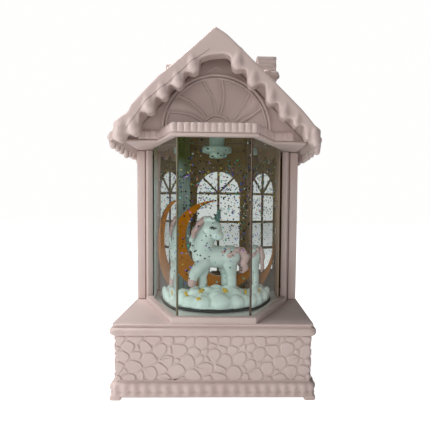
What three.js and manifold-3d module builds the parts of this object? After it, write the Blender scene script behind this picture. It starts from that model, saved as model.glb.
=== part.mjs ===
// House-shaped water lantern: a glitter tank in a pink moulded house on a stone-look plinth.
// Millimetres, +Z up. The origin is the middle of the footprint, on the surface it stands on;
// the front of the house faces -Y.
import * as THREE from 'three';
import { mergeVertices } from 'three/addons/utils/BufferGeometryUtils.js';
import Module from 'manifold-3d';

const wasm = await Module();
wasm.setup();

// ---- driving dimensions ----
const GAP = 0.3; // air left between neighbouring pieces

const SLAB = { halfX: 75, halfY: 66.5, bottom: 48.3, lip: 55, top: 57.3, inset: 1.5, hole: 41 };
const PLINTH = { halfX: 72.5, halfY: 63, wall: 2.5, bottom: 10, top: 48 };
const SKIRT = { halfX: 75, halfY: 66, bottom: 2.3, top: 14, corner: 7 };
const FOOT = { size: 10, height: 2, x: 68, y: 58.5 };
const COVER = { bottom: 4.6, top: 7.1 };

// The bay is a hexagonal prism, a little longer from front to back than across.
const BAY = { frontHalf: 27.4, frontY: 58.4, sideHalf: 56 };
const BAY_SLOPE = BAY.frontY / (BAY.sideHalf - BAY.frontHalf);
const TANK = { wall: 2, bottom: SLAB.top + GAP, top: 203.5, floorHole: 36.3, plugHole: 7 };
const KERB = { rise: 4.6, inner: 0.5, width: 6, endY: 4.9 };

const WALL = {
  frontY: 10.5, backY: 59, rearY: 63, top: 193.4, outerX: 73.3, innerX: 68, postX: 66.2, postDepth: 6,
};
const BOARD = { bottom: 193.8, top: 196, halfX: 72.3, shoulderY: -33.5, backY: 58.7, lip: 6.8 };
const CORNICE = { bottom: 196.3, top: 203.6, halfX: 62, depth: 4.6, backDepth: 3.4 };
const WINDOW = { half: 20.7, sill: 80.5, spring: 156.5, bar: 2.2, rails: [102.8, 128.7, 156.2] };

const ROOF = { peak: 272, halfX: 78, thickness: 2.2, frontY: -52.1, backY: 63 };
const FASCIA = { rise: 1, frontY: -63.4, backY: 66.5, drop: 14, drip: 5, count: 6, floor: 188 };
const EAVE = { outerX: 82, top: 198, bottom: 191, drip: 4.5, count: 9 };
const GABLE = { frontY: -29.5, thickness: 3 };
const CHIMNEY = { width: 16.8, depth: 17, backY: 22 };

const CELL = { radius: 7.1, length: 49.5, pitch: 14.5, z: 16.6, midY: 36.6 };
const MOTOR = { radius: 12, bottom: 26, top: 40, shaft: 1.2 };
const SWITCH = { x: 48, z: 30, travel: 3.5 };

const FIGURE_Y = 2; // the figure stands just behind the middle of the tank
const MOON = { y: 16, thickness: 5, outer: 40.5, inner: 33.7, x: -1, z: 108.5, shiftX: 7, shiftZ: 7 };
const CLOUD = { radius: 34.5, bottom: 61, top: 66 };

// ---- materials ----
const plastic = (color, roughness = 0.5) =>
  new THREE.MeshStandardMaterial({ color, roughness, metalness: 0 });
const metal = (color, roughness = 0.35) => new THREE.MeshStandardMaterial({ color, roughness, metalness: 1 });
const pink = plastic(0xd8c2be, 0.45);
const white = plastic(0xe9eeea, 0.4);
const black = plastic(0x14171a, 0.5);
const blush = plastic(0xdfa9ac, 0.5);
const frosted = plastic(0xb9cfc2, 0.6);
const amber = plastic(0xc9820e, 0.2);
const sage = plastic(0x6f7f78, 0.4);
const circuit = plastic(0x1f6b3a, 0.5);
const cellWrap = plastic(0x39444f, 0.4);
const steel = metal(0xc0c2c4);
const clear = new THREE.MeshStandardMaterial({
  color: 0xeef4f2, roughness: 0.05, metalness: 0, transparent: true, opacity: 0.3,
});

// ---- shape helpers ----
const lantern = new THREE.Group();

function solid(geometry) {
  const plain = geometry.clone();
  plain.deleteAttribute('normal');
  plain.deleteAttribute('uv');
  const merged = mergeVertices(plain, 1e-4);
  return new wasm.Manifold(new wasm.Mesh({
    numProp: 3,
    vertProperties: new Float32Array(merged.attributes.position.array),
    triVerts: new Uint32Array(merged.index.array),
  }));
}

function geometryOf(body) {
  const mesh = body.getMesh();
  const geometry = new THREE.BufferGeometry();
  geometry.setAttribute('position', new THREE.BufferAttribute(mesh.vertProperties, 3));
  geometry.setIndex(new THREE.BufferAttribute(mesh.triVerts, 1));
  geometry.computeVertexNormals();
  return geometry;
}

function piece(name, shape, material) {
  const geometry = shape.isBufferGeometry ? shape : geometryOf(shape);
  const mesh = new THREE.Mesh(geometry, material);
  mesh.name = name;
  lantern.add(mesh);
  return mesh;
}

const union = (shapes) => shapes.map((s) => (s.isBufferGeometry ? solid(s) : s)).reduce((a, b) => a.add(b));

// A block between two opposite corners.
function block([x0, y0, z0], [x1, y1, z1]) {
  const geometry = new THREE.BoxGeometry(x1 - x0, y1 - y0, z1 - z0);
  return geometry.translate((x0 + x1) / 2, (y0 + y1) / 2, (z0 + z1) / 2);
}

const outline = (points) => new THREE.Shape(points.map(([x, y]) => new THREE.Vector2(x, y)));

// A plan outline raised from z0 to z1.
function raise(points, z0, z1) {
  const geometry = new THREE.ExtrudeGeometry(outline(points), { depth: z1 - z0, bevelEnabled: false });
  return geometry.translate(0, 0, z0);
}

// A front-view outline (x, z) run back from y0 to y1.
function runBack(points, y0, y1) {
  const geometry = new THREE.ExtrudeGeometry(outline(points), { depth: y1 - y0, bevelEnabled: false });
  return geometry.rotateX(Math.PI / 2).translate(0, y1, 0);
}

// A profile of (radius, z) turned about a vertical axis.
function turned(profile, x = 0, y = 0, segments = 28) {
  const geometry = new THREE.LatheGeometry(profile.map(([r, z]) => new THREE.Vector2(r, z)), segments);
  return geometry.rotateX(Math.PI / 2).translate(x, y, 0);
}

const disc = (radius, z0, z1, x = 0, y = 0, segments = 28) =>
  turned([[0, z0], [radius, z0], [radius, z1], [0, z1]], x, y, segments);

const ball = (radius, [x, y, z], scale = [1, 1, 1]) =>
  new THREE.SphereGeometry(radius, 8, 5).scale(...scale).translate(x, y, z);

// A tapered bar between two points, ball-ended so that a chain of them joins smoothly.
function limb(from, to, r0, r1) {
  const start = new THREE.Vector3(...from);
  const span = new THREE.Vector3(...to).sub(start);
  const geometry = new THREE.CylinderGeometry(r1, r0, span.length(), 8);
  geometry.translate(0, span.length() / 2, 0);
  const up = new THREE.Vector3(0, 1, 0);
  geometry.applyQuaternion(new THREE.Quaternion().setFromUnitVectors(up, span.clone().normalize()));
  geometry.translate(...from);
  return union([geometry, ball(r0, from), ball(r1, to)]);
}

const chain = (joints) =>
  union(joints.slice(1).map(([to, r1], i) => limb(joints[i][0], to, joints[i][1], r1)));

// A rectangle with rounded corners, as points.
function roundedRect(halfX, halfY, radius, steps = 4) {
  const points = [];
  const centres = [[1, 1, 0], [-1, 1, 1], [-1, -1, 2], [1, -1, 3]];
  for (const [sx, sy, quarter] of centres) {
    for (let i = 0; i <= steps; i += 1) {
      const angle = (quarter + i / steps) * (Math.PI / 2);
      const x = sx * (halfX - radius) + radius * Math.cos(angle);
      const y = sy * (halfY - radius) + radius * Math.sin(angle);
      points.push([x, y]);
    }
  }
  return points;
}

// The bay's hexagon with every side moved out by a distance.
function hexagon(offset) {
  const length = Math.hypot(1, BAY_SLOPE);
  const frontY = BAY.frontY + offset;
  const side = BAY.sideHalf + (offset * length) / BAY_SLOPE;
  const front = side - frontY / BAY_SLOPE;
  return [[front, -frontY], [side, 0], [front, frontY], [-front, frontY], [-side, 0], [-front, -frontY]];
}

// Where the slanted side of the offset hexagon crosses a given y in front of the middle.
function baySideX(offset, y) {
  const [, [side]] = hexagon(offset);
  return side + y / BAY_SLOPE;
}

// ---- plinth ----
function makePlinth() {
  const outer = raise(roundedRect(PLINTH.halfX, PLINTH.halfY, 2), PLINTH.bottom, PLINTH.top);
  const skirt = raise(roundedRect(SKIRT.halfX, SKIRT.halfY, SKIRT.corner), SKIRT.bottom, SKIRT.top);
  const innerX = PLINTH.halfX - PLINTH.wall;
  const innerY = PLINTH.halfY - PLINTH.wall;
  const hollow = block([-innerX, -innerY, 0], [innerX, innerY, SLAB.top]);
  const slotHalf = SWITCH.travel + 3;
  const switchSlot = block(
    [SWITCH.x - slotHalf, 56, SWITCH.z - 2.3],
    [SWITCH.x + slotHalf, 66, SWITCH.z + 2.3],
  );
  const socketSlot = block([-SWITCH.x - 4.8, 56, 28], [-SWITCH.x + 4.8, 66, 32]);
  const shell = union([outer, skirt]).subtract(solid(hollow));
  piece('base_housing', shell.subtract(solid(switchSlot)).subtract(solid(socketSlot)), pink);

  const feet = [['front_left', -1, -1], ['front_right', 1, -1], ['rear_left', -1, 1], ['rear_right', 1, 1]];
  for (const [name, sx, sy] of feet) {
    const foot = raise(roundedRect(FOOT.size / 2, FOOT.size / 2, 2, 2), 0, FOOT.height);
    piece(`foot_${name}`, foot.translate(sx * FOOT.x, sy * FOOT.y, 0), pink);
  }
}

function makeDeck() {
  const lip = raise(roundedRect(SLAB.halfX, SLAB.halfY, 5), SLAB.bottom, SLAB.lip);
  const plateOutline = roundedRect(SLAB.halfX - SLAB.inset, SLAB.halfY - SLAB.inset, 4);
  const plate = raise(plateOutline, SLAB.bottom, SLAB.top);
  const kerb = solid(raise(hexagon(KERB.inner + KERB.width), SLAB.lip, SLAB.top + KERB.rise));
  const inside = solid(raise(hexagon(KERB.inner), SLAB.top, SLAB.top + 20));
  const behind = solid(block([-80, KERB.endY, SLAB.top], [80, 80, SLAB.top + 20]));
  const kerbFront = kerb.subtract(inside).subtract(behind);
  const deck = union([lip, plate]).add(kerbFront).subtract(solid(disc(SLAB.hole, 40, 70, 0, 0, 48)));
  piece('deck', deck, pink);
}

// ---- underside and electrics ----
function makeUnderside() {
  const x = PLINTH.halfX - PLINTH.wall - GAP;
  const y = PLINTH.halfY - PLINTH.wall - GAP;
  const plate = solid(block([-x, -y, COVER.bottom], [x, y, COVER.top]));
  const bosses = [-62, -38].flatMap((bx) => [-45, -9].map((by) => disc(2.2, COVER.bottom, 9.7, bx, by, 12)));
  const doorway = solid(block([-31, 15.5, 0], [31, 58.5, 10]));
  const grille = [-6, 0, 6].flatMap((gx) => [-6, 0, 6].map((gy) => disc(1.6, 0, 10, 48 + gx, -34 + gy, 10)));
  piece('bottom_cover', plate.add(union(bosses)).subtract(doorway).subtract(union(grille)), pink);
  piece('battery_door', block([-30.6, 15.9, COVER.bottom], [30.6, 58.1, COVER.top - 0.5]), pink);

  for (const [i, [sx, sy]] of [[-64, -54], [64, -54], [-64, 52], [64, 52]].entries()) {
    const screw = turned([[0, 3.2], [2.6, 3.2], [2.6, 4.3], [0, 4.3]], sx, sy, 16);
    piece(`cover_screw_${i + 1}`, screw, steel);
  }
}

function makeBatteries() {
  const tray = solid(block([-31.4, 13.2, COVER.top + GAP], [31.4, 60, 25.4]));
  const bay = solid(block([-29.8, 14.7, 0], [29.8, 58.5, 24]));
  piece('battery_box', tray.subtract(bay), black);
  for (let i = 0; i < 3; i += 1) {
    const y = CELL.midY + (i - 1) * CELL.pitch;
    const half = CELL.length / 2;
    const can = [[0, -half], [CELL.radius, -half], [CELL.radius, half]];
    const button = [[2.7, half], [2.7, half + 1], [0, half + 1]];
    const profile = [...can, ...button];
    const cell = new THREE.LatheGeometry(profile.map(([r, s]) => new THREE.Vector2(r, s)), 20);
    cell.rotateZ(i % 2 === 0 ? -Math.PI / 2 : Math.PI / 2);
    piece(`aa_cell_${i + 1}`, cell.translate(0, y, CELL.z), cellWrap);
  }
  for (const [name, side] of [['left', -1], ['right', 1]]) {
    const face = side * 28.9;
    const strip = block([face - 0.4, 16, 11.5], [face + 0.4, 57.2, 21.5]);
    piece(`contact_strip_${name}`, strip, steel);
  }
}

function makeElectrics() {
  const board = block([-64, -48, 10], [-36, -6, 11.6]);
  const chip = block([-56, -34, 11.4], [-48, -24, 13.2]);
  const socket = block([-63, -14, 11.4], [-55, -9, 17]);
  const capacitor = disc(3, 11.4, 19, -43, -40, 16);
  piece('circuit_board', union([board, chip, socket, capacitor]), circuit);
  const speakerProfile = [[0, 7.5], [13.5, 7.5], [13.5, 11], [8, 13], [8, 17], [0, 17]];
  piece('speaker', turned(speakerProfile, 48, -34, 24), black);
  piece('switch_body', block([SWITCH.x - 8, 53, SWITCH.z - 4], [SWITCH.x + 8, 58.5, SWITCH.z + 4]), black);
  const key = block([SWITCH.x - 2.6, 58.8, SWITCH.z - 1.9], [SWITCH.x + 2.6, 65, SWITCH.z + 1.9]);
  piece('mode_switch_key', key, black);
  const shell = solid(block([-SWITCH.x - 4.4, 54.5, 28.3], [-SWITCH.x + 4.4, 62.7, 31.7]));
  const mouth = solid(block([-SWITCH.x - 3.8, 58.5, 28.9], [-SWITCH.x + 3.8, 63.5, 31.1]));
  piece('charging_socket', shell.subtract(mouth), steel);
}

function makeDrive() {
  const { radius, bottom, top, shaft } = MOTOR;
  const body = [[0, bottom], [radius, bottom], [radius, top]];
  const spigot = [[shaft, top], [shaft, top + 2.6], [0, top + 2.6]];
  piece('gear_motor', turned([...body, ...spigot]), steel);
  const base = block([-26, -9, 23.5], [26, 9, MOTOR.bottom - GAP]);
  const legs = [-26, 24].map((x) => block([x, -9, 23.5], [x + 2, 9, SLAB.bottom - GAP]));
  piece('motor_bracket', union([base, ...legs]), pink);
  piece('magnet_rotor', disc(11.5, 43, 46.6), white);
  for (const [i, side] of [-1, 1].entries()) {
    piece(`drive_magnet_${i + 1}`, disc(3, 46.9, 49.9, side * 7.5, 0, 16), steel);
  }
}

// ---- tank ----
function makeTank() {
  const { wall, bottom, top, floorHole, plugHole } = TANK;
  const outer = solid(raise(hexagon(0), bottom, top));
  const inner = solid(raise(hexagon(-wall), bottom + wall, top - wall));
  const holes = union([disc(floorHole, bottom - 5, bottom + 5, 0, 0, 48), disc(plugHole, top - 5, top + 5)]);
  piece('tank_shell', outer.subtract(inner).subtract(holes), clear);

  const seat = SLAB.top - GAP;
  const well = [[15, 60.5], [15, 53.3], [0, 53.3]];
  const plugSide = [[0, 50.6], [40.5, 50.6], [40.5, seat], [34.3, seat], [34.3, 60.5]];
  piece('tank_plug', turned([...plugSide, ...well], 0, 0, 48), white);
  const seal = [[34.6, seat + GAP], [36, seat + GAP], [36, 61.3], [34.6, 61.3], [34.6, seat + GAP]];
  piece('plug_seal', turned(seal, 0, 0, 48), black);
  piece('impeller_pin', disc(1, 53.6, 59.8, 0, 0, 12), steel);

  const vanes = [0, 1, 2, 3].map((i) => block([2, -0.7, 54.5], [12.4, 0.7, 59.4]).rotateZ((i * Math.PI) / 2));
  const wheel = union([disc(12.4, 54, 55.2), disc(3.2, 54, 59.6, 0, 0, 16), ...vanes]);
  piece('impeller', wheel.subtract(solid(disc(1.4, 50, 70, 0, 0, 12))), white);

  const stopperNose = [[0, 184.4], [6.4, 184.4], [6.4, 188.6]];
  const stopperCollar = [[12.4, 188.6], [12.4, 193.4], [6.4, 193.4], [6.4, 203.8], [0, 203.8]];
  const stopper = [...stopperNose, ...stopperCollar];
  piece('fill_stopper', turned(stopper), frosted);
}

// ---- figures ----
function crescent(margin) {
  const { x, z, outer, inner, shiftX, shiftZ } = MOON;
  const y0 = MOON.y - MOON.thickness / 2 - margin;
  const y1 = MOON.y + MOON.thickness / 2 + margin;
  const rod = (radius, cx, cz, a, b) =>
    new THREE.CylinderGeometry(radius, radius, b - a, 48).translate(cx, (a + b) / 2, cz);
  const full = solid(rod(outer + margin, x, z, y0, y1));
  if (margin > 0) return full;
  return full.subtract(solid(rod(inner, x + shiftX, z + shiftZ, y0 - 5, y1 + 5)));
}

const hooves = [[-11.5, FIGURE_Y - 3], [13.5, FIGURE_Y - 1], [8, FIGURE_Y + 6.5]];

function makeUnicorn() {
  const y = FIGURE_Y;
  const barrel = ball(10, [0.5, y, 100.3], [1.75, 0.95, 1]);
  const trunk = [barrel, ball(11, [-10.5, y - 1, 102]), ball(10.3, [11, y, 100.6])];
  const neck = limb([-11, y - 1, 104], [-8, y - 3, 119], 9.5, 7.2);
  const head = [ball(8.6, [-3.6, y - 5, 124.6]), ball(5.4, [1.4, y - 8.5, 116.6], [1, 1.1, 1])];
  const earRoots = [[-8, y - 3, 131], [0.5, y + 0.5, 131.5]];
  const ears = earRoots.map(([ex, ey, ez]) => limb([ex, ey, ez], [ex - 0.6, ey, ez + 3.6], 2.2, 1));
  const raised = chain([[[-11, y - 5, 94], 5.2], [[-19.5, y - 8, 88], 4], [[-21, y - 8, 80], 3.5]]);
  const [near, hind, far] = hooves;
  const standing = chain([
    [[-9.5, near[1], 93], 5],
    [[near[0], near[1], 83], 3.6],
    [[near[0], near[1], 76.8], 3.7],
  ]);
  const hindLeg = ([hx, hy]) => chain([[[hx - 2, hy, 95], 6.5], [[hx, hy, 84], 4], [[hx, hy, 76.8], 3.8]]);
  const hindLegs = [hind, far].map(hindLeg);
  const shoes = hooves.map(([hx, hy]) => disc(3.6, 73.2, 77, hx, hy, 12));
  const body = union([...trunk, neck, ...head, ...ears, raised, standing, ...hindLegs, ...shoes]);
  const horn = limb([0.2, y - 6, 132.5], [2.6, y - 6, 140.6], 2, 0.7);
  const mane = chain([
    [[-9, y + 4, 132], 3.6],
    [[-15.5, y + 2, 127.5], 4.6],
    [[-19, y + 2, 119], 5],
    [[-20, y + 1, 112.5], 4],
  ]);
  const tail = chain([
    [[20, y + 1, 105.5], 3.2],
    [[24.4, y + 1, 103.6], 4],
    [[25.8, y, 97], 4],
    [[23.2, y, 91], 2.6],
  ]);
  piece('unicorn_mane', mane, blush);
  piece('unicorn_tail', tail.subtract(solid(ball(11.2, [11, y, 100.6]))), blush);
  piece('unicorn_horn', horn, sage);
  piece('unicorn', body.subtract(mane).subtract(horn).subtract(tail), white);
}

function makeFigures() {
  makeUnicorn();
  piece('crescent_moon', crescent(0), amber);
  const { radius: rim, bottom, top } = CLOUD;
  const mound = turned([[0, bottom], [rim, bottom], [rim, top], [24, 69.5], [10, 72], [0, 72]], 0, 0, 40);
  const puffs = [mound, ball(9, [0, 0, 67.4])];
  for (const [count, ring, radius, z] of [[12, 27, 7.3, 64.5], [7, 15, 8.2, 67.3]]) {
    for (let i = 0; i < count; i += 1) {
      const angle = ((i + 0.5) / count) * 2 * Math.PI;
      puffs.push(ball(radius, [ring * Math.cos(angle), ring * Math.sin(angle), z]));
    }
  }
  const floor = solid(disc(60, bottom - 30, bottom));
  const pockets = union(hooves.map(([x, y]) => disc(4.2, 72.9, 90, x, y, 12)));
  piece('cloud_base', union(puffs).subtract(floor).subtract(crescent(GAP)).subtract(pockets), white);
}

// ---- house ----
function makeWalls() {
  const { frontY, backY, rearY, top, outerX, innerX, postX, postDepth } = WALL;
  const foot = SLAB.top + GAP;
  for (const [name, side] of [['left', -1], ['right', 1]]) {
    const wall = [
      [postX, frontY], [outerX, frontY], [outerX, rearY], [innerX, rearY],
      [innerX, frontY + postDepth], [postX, frontY + postDepth],
    ];
    const jambBack = frontY + postDepth;
    const jamb = [[58.4, 7.7], [63.1, 5.6], [65.9, 11.8], [65.9, jambBack], [62.4, jambBack]];
    const mirrored = (points) => points.map(([x, y]) => [side * x, y]);
    piece(`side_wall_${name}`, raise(mirrored(wall), foot, top), pink);
    piece(`bay_jamb_${name}`, raise(mirrored(jamb), foot, top), pink);
  }

  const shoulder = ROOF.peak - ROOF.thickness * Math.SQRT2 - GAP * 2;
  const halfX = innerX - GAP;
  const springing = shoulder - halfX;
  const pentagon = [[-halfX, foot], [halfX, foot], [halfX, springing], [0, shoulder], [-halfX, springing]];
  const gap = [[-WINDOW.half, WINDOW.sill], [WINDOW.half, WINDOW.sill]];
  for (let i = 0; i <= 12; i += 1) {
    const angle = (i / 12) * Math.PI;
    gap.push([WINDOW.half * Math.cos(angle), WINDOW.spring + WINDOW.half * Math.sin(angle)]);
  }
  const half = WINDOW.bar / 2;
  const bars = [block([-half, backY, WINDOW.sill], [half, rearY, WINDOW.spring + WINDOW.half])];
  for (const z of WINDOW.rails) {
    bars.push(block([-WINDOW.half, backY, z - half], [WINDOW.half, rearY, z + half]));
  }
  for (const side of [-1, 1]) {
    const spoke = block([-half * 0.8, backY, 0], [half * 0.8, rearY, WINDOW.half]);
    bars.push(spoke.rotateY((side * Math.PI) / 4).translate(0, 0, WINDOW.spring));
  }
  const opening = solid(runBack(gap, backY - 5, 70));
  const lattice = union(bars).intersect(solid(runBack(gap, backY, rearY)));
  piece('rear_wall', solid(runBack(pentagon, backY, rearY)).subtract(opening).add(lattice), pink);
}

function makeBayTop() {
  const { bottom, top, halfX, shoulderY, backY, lip } = BOARD;
  const [[frontX, frontY]] = hexagon(lip);
  const shoulderX = baySideX(lip, shoulderY);
  const board = [
    [-halfX, backY], [-halfX, shoulderY], [-shoulderX, shoulderY], [-frontX, frontY],
    [frontX, frontY], [shoulderX, shoulderY], [halfX, shoulderY], [halfX, backY],
  ];
  const bayHole = solid(raise(hexagon(0.4), bottom - 5, top + 5));
  piece('soffit_board', solid(raise(board, bottom, top)).subtract(bayHole), pink);

  const [[innerX, innerY]] = hexagon(lip - CORNICE.depth);
  const rearY = shoulderY + CORNICE.backDepth;
  const returnX = baySideX(lip - CORNICE.depth, rearY);
  const band = [
    [-CORNICE.halfX, shoulderY], [-shoulderX, shoulderY], [-frontX, frontY], [frontX, frontY],
    [shoulderX, shoulderY], [CORNICE.halfX, shoulderY], [CORNICE.halfX, rearY], [returnX, rearY],
    [innerX, innerY], [-innerX, innerY], [-returnX, rearY], [-CORNICE.halfX, rearY],
  ];
  piece('cornice', raise(band, CORNICE.bottom, CORNICE.top), pink);

  const ceiling = solid(block([-58, GABLE.frontY + GABLE.thickness + GAP, 204.2], [58, backY, 206]));
  piece('ceiling_plate', ceiling.subtract(solid(disc(7, 200, 210, 0, 0, 24))), pink);
  const lamp = union([disc(10, 206.3, 207.9, 0, 0, 24), disc(2.6, 204.6, 206.8, 0, 0, 12)]);
  piece('led_board', lamp, white);

  const shoulder = ROOF.peak - ROOF.thickness * Math.SQRT2 - GAP * 2;
  const gableX = shoulder - CORNICE.bottom;
  const gable = [[-gableX, CORNICE.bottom], [gableX, CORNICE.bottom], [0, shoulder]];
  const panel = solid(runBack(gable, GABLE.frontY, GABLE.frontY + GABLE.thickness));
  const tankTop = solid(block([-44, GABLE.frontY - 5, 190], [44, GABLE.frontY + 8, 204]));
  piece('front_gable', panel.subtract(tankTop), pink);

  const capX = baySideX(lip, GABLE.frontY - GAP);
  const cap = [[-frontX, frontY], [frontX, frontY], [capX, GABLE.frontY - GAP], [-capX, GABLE.frontY - GAP]];
  piece('bay_cap', raise(cap, 204, 205.6), pink);
}

// ---- roof ----
// The icing edge hangs in rounded drips; stations run from the peak down one slope.
function icingEdge(halfX, top) {
  const { drop, drip, count, floor } = FASCIA;
  const points = [];
  const steps = 6;
  for (let i = count * steps; i >= 0; i -= 1) {
    const x = (i / (count * steps)) * halfX;
    const phase = Math.abs(Math.sin((i / steps) * Math.PI));
    points.push([x, Math.max(floor, top - x - drop - drip * phase)]);
  }
  return points;
}

function makeRoof() {
  const { peak, halfX, thickness, frontY, backY } = ROOF;
  const skin = thickness * Math.SQRT2;
  const vee = [[0, peak], [-halfX, peak - halfX], [-halfX, peak - halfX - skin], [0, peak - skin],
    [halfX, peak - halfX - skin], [halfX, peak - halfX]];
  piece('roof', runBack(vee, frontY, backY), pink);

  const top = peak + FASCIA.rise;
  const edge = icingEdge(76, top);
  const mirrored = edge.slice(0, -1).reverse().map(([x, z]) => [-x, z]);
  const fascia = [[0, top], [76, top - 76], ...edge, ...mirrored, [-76, top - 76]];
  piece('front_icing', runBack(fascia, FASCIA.frontY, frontY - GAP), pink);
  piece('rear_icing', runBack(fascia, backY + GAP, FASCIA.backY), pink);

  for (const [name, side] of [['left', -1], ['right', 1]]) {
    const run = backY - frontY;
    const points = [[frontY, EAVE.top], [backY, EAVE.top]];
    for (let i = EAVE.count * 6; i >= 0; i -= 1) {
      const along = frontY + (i / (EAVE.count * 6)) * run;
      points.push([along, EAVE.bottom - EAVE.drip * Math.abs(Math.sin((i / 6) * Math.PI))]);
    }
    const depth = EAVE.outerX - halfX - GAP;
    const strip = new THREE.ExtrudeGeometry(outline(points), { depth, bevelEnabled: false });
    strip.rotateX(Math.PI / 2).rotateZ(Math.PI / 2);
    const x = side > 0 ? halfX + GAP : -EAVE.outerX;
    piece(`eave_icing_${name}`, strip.translate(x, 0, 0), pink);
  }
}

function makeChimneys() {
  const frontY = CHIMNEY.backY - CHIMNEY.depth;
  for (const [name, x0, top] of [['right', 34.4, 276.9], ['left', -46, 268.4]]) {
    const x1 = x0 + CHIMNEY.width;
    const seat = (x) => ROOF.peak + GAP * 1.5 - Math.abs(x);
    const stack = [[x0, seat(x0)], [x1, seat(x1)], [x1, top], [x0, top]];
    piece(`chimney_${name}`, runBack(stack, frontY, CHIMNEY.backY), pink);
    const collarTop = top - 11;
    const around = block([x0 - 2.4, frontY - 2.4, collarTop - 6], [x1 + 2.4, CHIMNEY.backY + 2.4, collarTop]);
    const hole = block([x0 - GAP, frontY - GAP, 0], [x1 + GAP, CHIMNEY.backY + GAP, 400]);
    piece(`chimney_snow_${name}`, solid(around).subtract(solid(hole)), pink);
  }
}

makePlinth();
makeDeck();
makeUnderside();
makeBatteries();
makeElectrics();
makeDrive();
makeTank();
makeFigures();
makeWalls();
makeBayTop();
makeRoof();
makeChimneys();

export default lantern;
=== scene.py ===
"""House-shaped glitter lantern: a moulded pink house with a water tank, a unicorn and a crescent moon."""

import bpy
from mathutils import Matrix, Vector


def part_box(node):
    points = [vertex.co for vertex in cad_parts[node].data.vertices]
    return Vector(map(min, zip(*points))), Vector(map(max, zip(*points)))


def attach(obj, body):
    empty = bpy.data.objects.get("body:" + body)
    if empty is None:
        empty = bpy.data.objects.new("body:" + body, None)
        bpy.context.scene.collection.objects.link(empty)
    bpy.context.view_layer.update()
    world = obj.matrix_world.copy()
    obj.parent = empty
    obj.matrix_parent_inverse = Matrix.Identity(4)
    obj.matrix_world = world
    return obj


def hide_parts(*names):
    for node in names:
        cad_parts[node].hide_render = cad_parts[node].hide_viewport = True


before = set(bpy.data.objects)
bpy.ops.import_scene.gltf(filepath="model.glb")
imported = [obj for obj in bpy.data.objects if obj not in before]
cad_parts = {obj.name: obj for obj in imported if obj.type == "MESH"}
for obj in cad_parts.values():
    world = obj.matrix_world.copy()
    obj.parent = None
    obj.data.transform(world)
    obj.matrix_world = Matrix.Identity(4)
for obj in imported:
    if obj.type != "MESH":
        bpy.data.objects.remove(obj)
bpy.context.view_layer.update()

import math
import random

import bmesh
import bpy
from bpy.props import FloatProperty, FloatVectorProperty, IntProperty, PointerProperty
from mathutils import Euler, Matrix, Vector, noise
from mathutils.bvhtree import BVHTree

bl_info = {
    "name": "Glitter House Lantern",
    "version": (1, 0, 0),
    "blender": (4, 5, 0),
    "location": "3D View > Sidebar > Lantern",
    "description": "Models and finishes the pieces of a house-shaped glitter lantern",
    "category": "Object",
}

MM = 0.001
UP = Vector((0, 0, 1))

# Shapes that the pieces share, in millimetres. The front of the house faces -Y.
HEXAGON_FRONT = (27.4, 58.4)
HEXAGON_SIDE = 56
HEXAGON_SLOPE = HEXAGON_FRONT[1] / (HEXAGON_SIDE - HEXAGON_FRONT[0])
TANK_HEIGHT = (57.6, 203.5)
PLINTH_HALF = (72.5, 63)
WALL_FOOT = 14.3
SLOT_X = 48
STONE_HEIGHT = (14.2, 47.8)
GABLE_FACE = -29.5
FAN_CENTRE = 205
FIGURE_Y = 2


def colour_property(name, description, default):
    """A colour that a user can change in the sidebar."""
    return FloatVectorProperty(
        name=name, description=description, subtype="COLOR", size=3, min=0, max=1, default=default
    )


def length_property(name, description, default):
    """A length in millimetres that a user can change in the sidebar."""
    return FloatProperty(name=name, description=description, min=0.01, default=default)


class LanternSizes(bpy.types.PropertyGroup):
    """Sizes of the moulded detail, in millimetres, and how many of each there are."""

    stone_rise: length_property("Stone rise", "How far a stone stands proud of the plinth, mm", 0.9)
    stone_gap: length_property("Stone gap", "Width of the joint between two stones, mm", 1.3)
    edge_round: length_property("Edge rounding", "Width of the rounded edge on moulded panels, mm", 0.55)
    flute_pitch: length_property("Flute pitch", "Distance between two flutes of the cornice, mm", 4.9)
    icing_grain: length_property("Icing grain", "Voxel size that the icing is blended at, mm", 0.95)
    course: length_property("Brick course", "Height of one chimney course with its joint, mm", 3.1)
    flake_size: length_property("Flake size", "Distance across one glitter flake, mm", 1.45)
    flakes: IntProperty(
        name="Flakes", description="Number of glitter flakes in the tank", min=1, default=1300
    )


class LanternColours(bpy.types.PropertyGroup):
    """Base colours of the finishes."""

    plastic: colour_property("House plastic", "Dusty pink moulded plastic", (0.64, 0.515, 0.485))
    # The shaded plastic paints the shade in the plastic's hollows, and it also tints the plastic's random
    # patches.
    plastic_shade: colour_property("Shaded plastic", "The same plastic as painted shade in its hollows, also its mottling", (0.50, 0.37, 0.345))
    seam: colour_property("Parting line", "Shadowed line where two mouldings meet", (0.16, 0.09, 0.085))
    resin: colour_property("White resin", "Glossy white figure paint", (0.56, 0.66, 0.63))
    blush: colour_property("Blush", "Pink paint on mane, tail and flowers", (0.56, 0.37, 0.36))
    # Painted shade: a dark brown that stands in for the shade on the inside of the window wall.
    bay_shade: colour_property("Bay painted shade", "Dusky brown painted shade inside the window wall", (0.22, 0.135, 0.055))
    sage: colour_property("Horn", "Grey green horn paint", (0.10, 0.19, 0.17))
    amber: colour_property("Amber", "Translucent crescent moon", (0.40, 0.135, 0.001))
    gold: colour_property("Gold", "Painted stars on the cloud", (0.75, 0.48, 0.02))
    water: colour_property("Water", "Tint of the tank and its water", (0.91, 0.985, 0.95))
    frost: colour_property("Frosted stopper", "Clouded stopper above the water", (0.42, 0.56, 0.48))


def sizes():
    """The size settings of the scene."""
    return bpy.context.scene.lantern_sizes


def colours():
    """The colour settings of the scene."""
    return bpy.context.scene.lantern_colours


# ---- modelling helpers ----
def deselect_all():
    """Leaves nothing selected, so that an operator acts only on what is picked next."""
    bpy.ops.object.select_all(action="DESELECT")


def pick(*objects):
    """Selects these objects alone and makes the first of them active."""
    deselect_all()
    for item in objects:
        item.select_set(True)
    bpy.context.view_layer.objects.active = objects[0]


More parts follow.
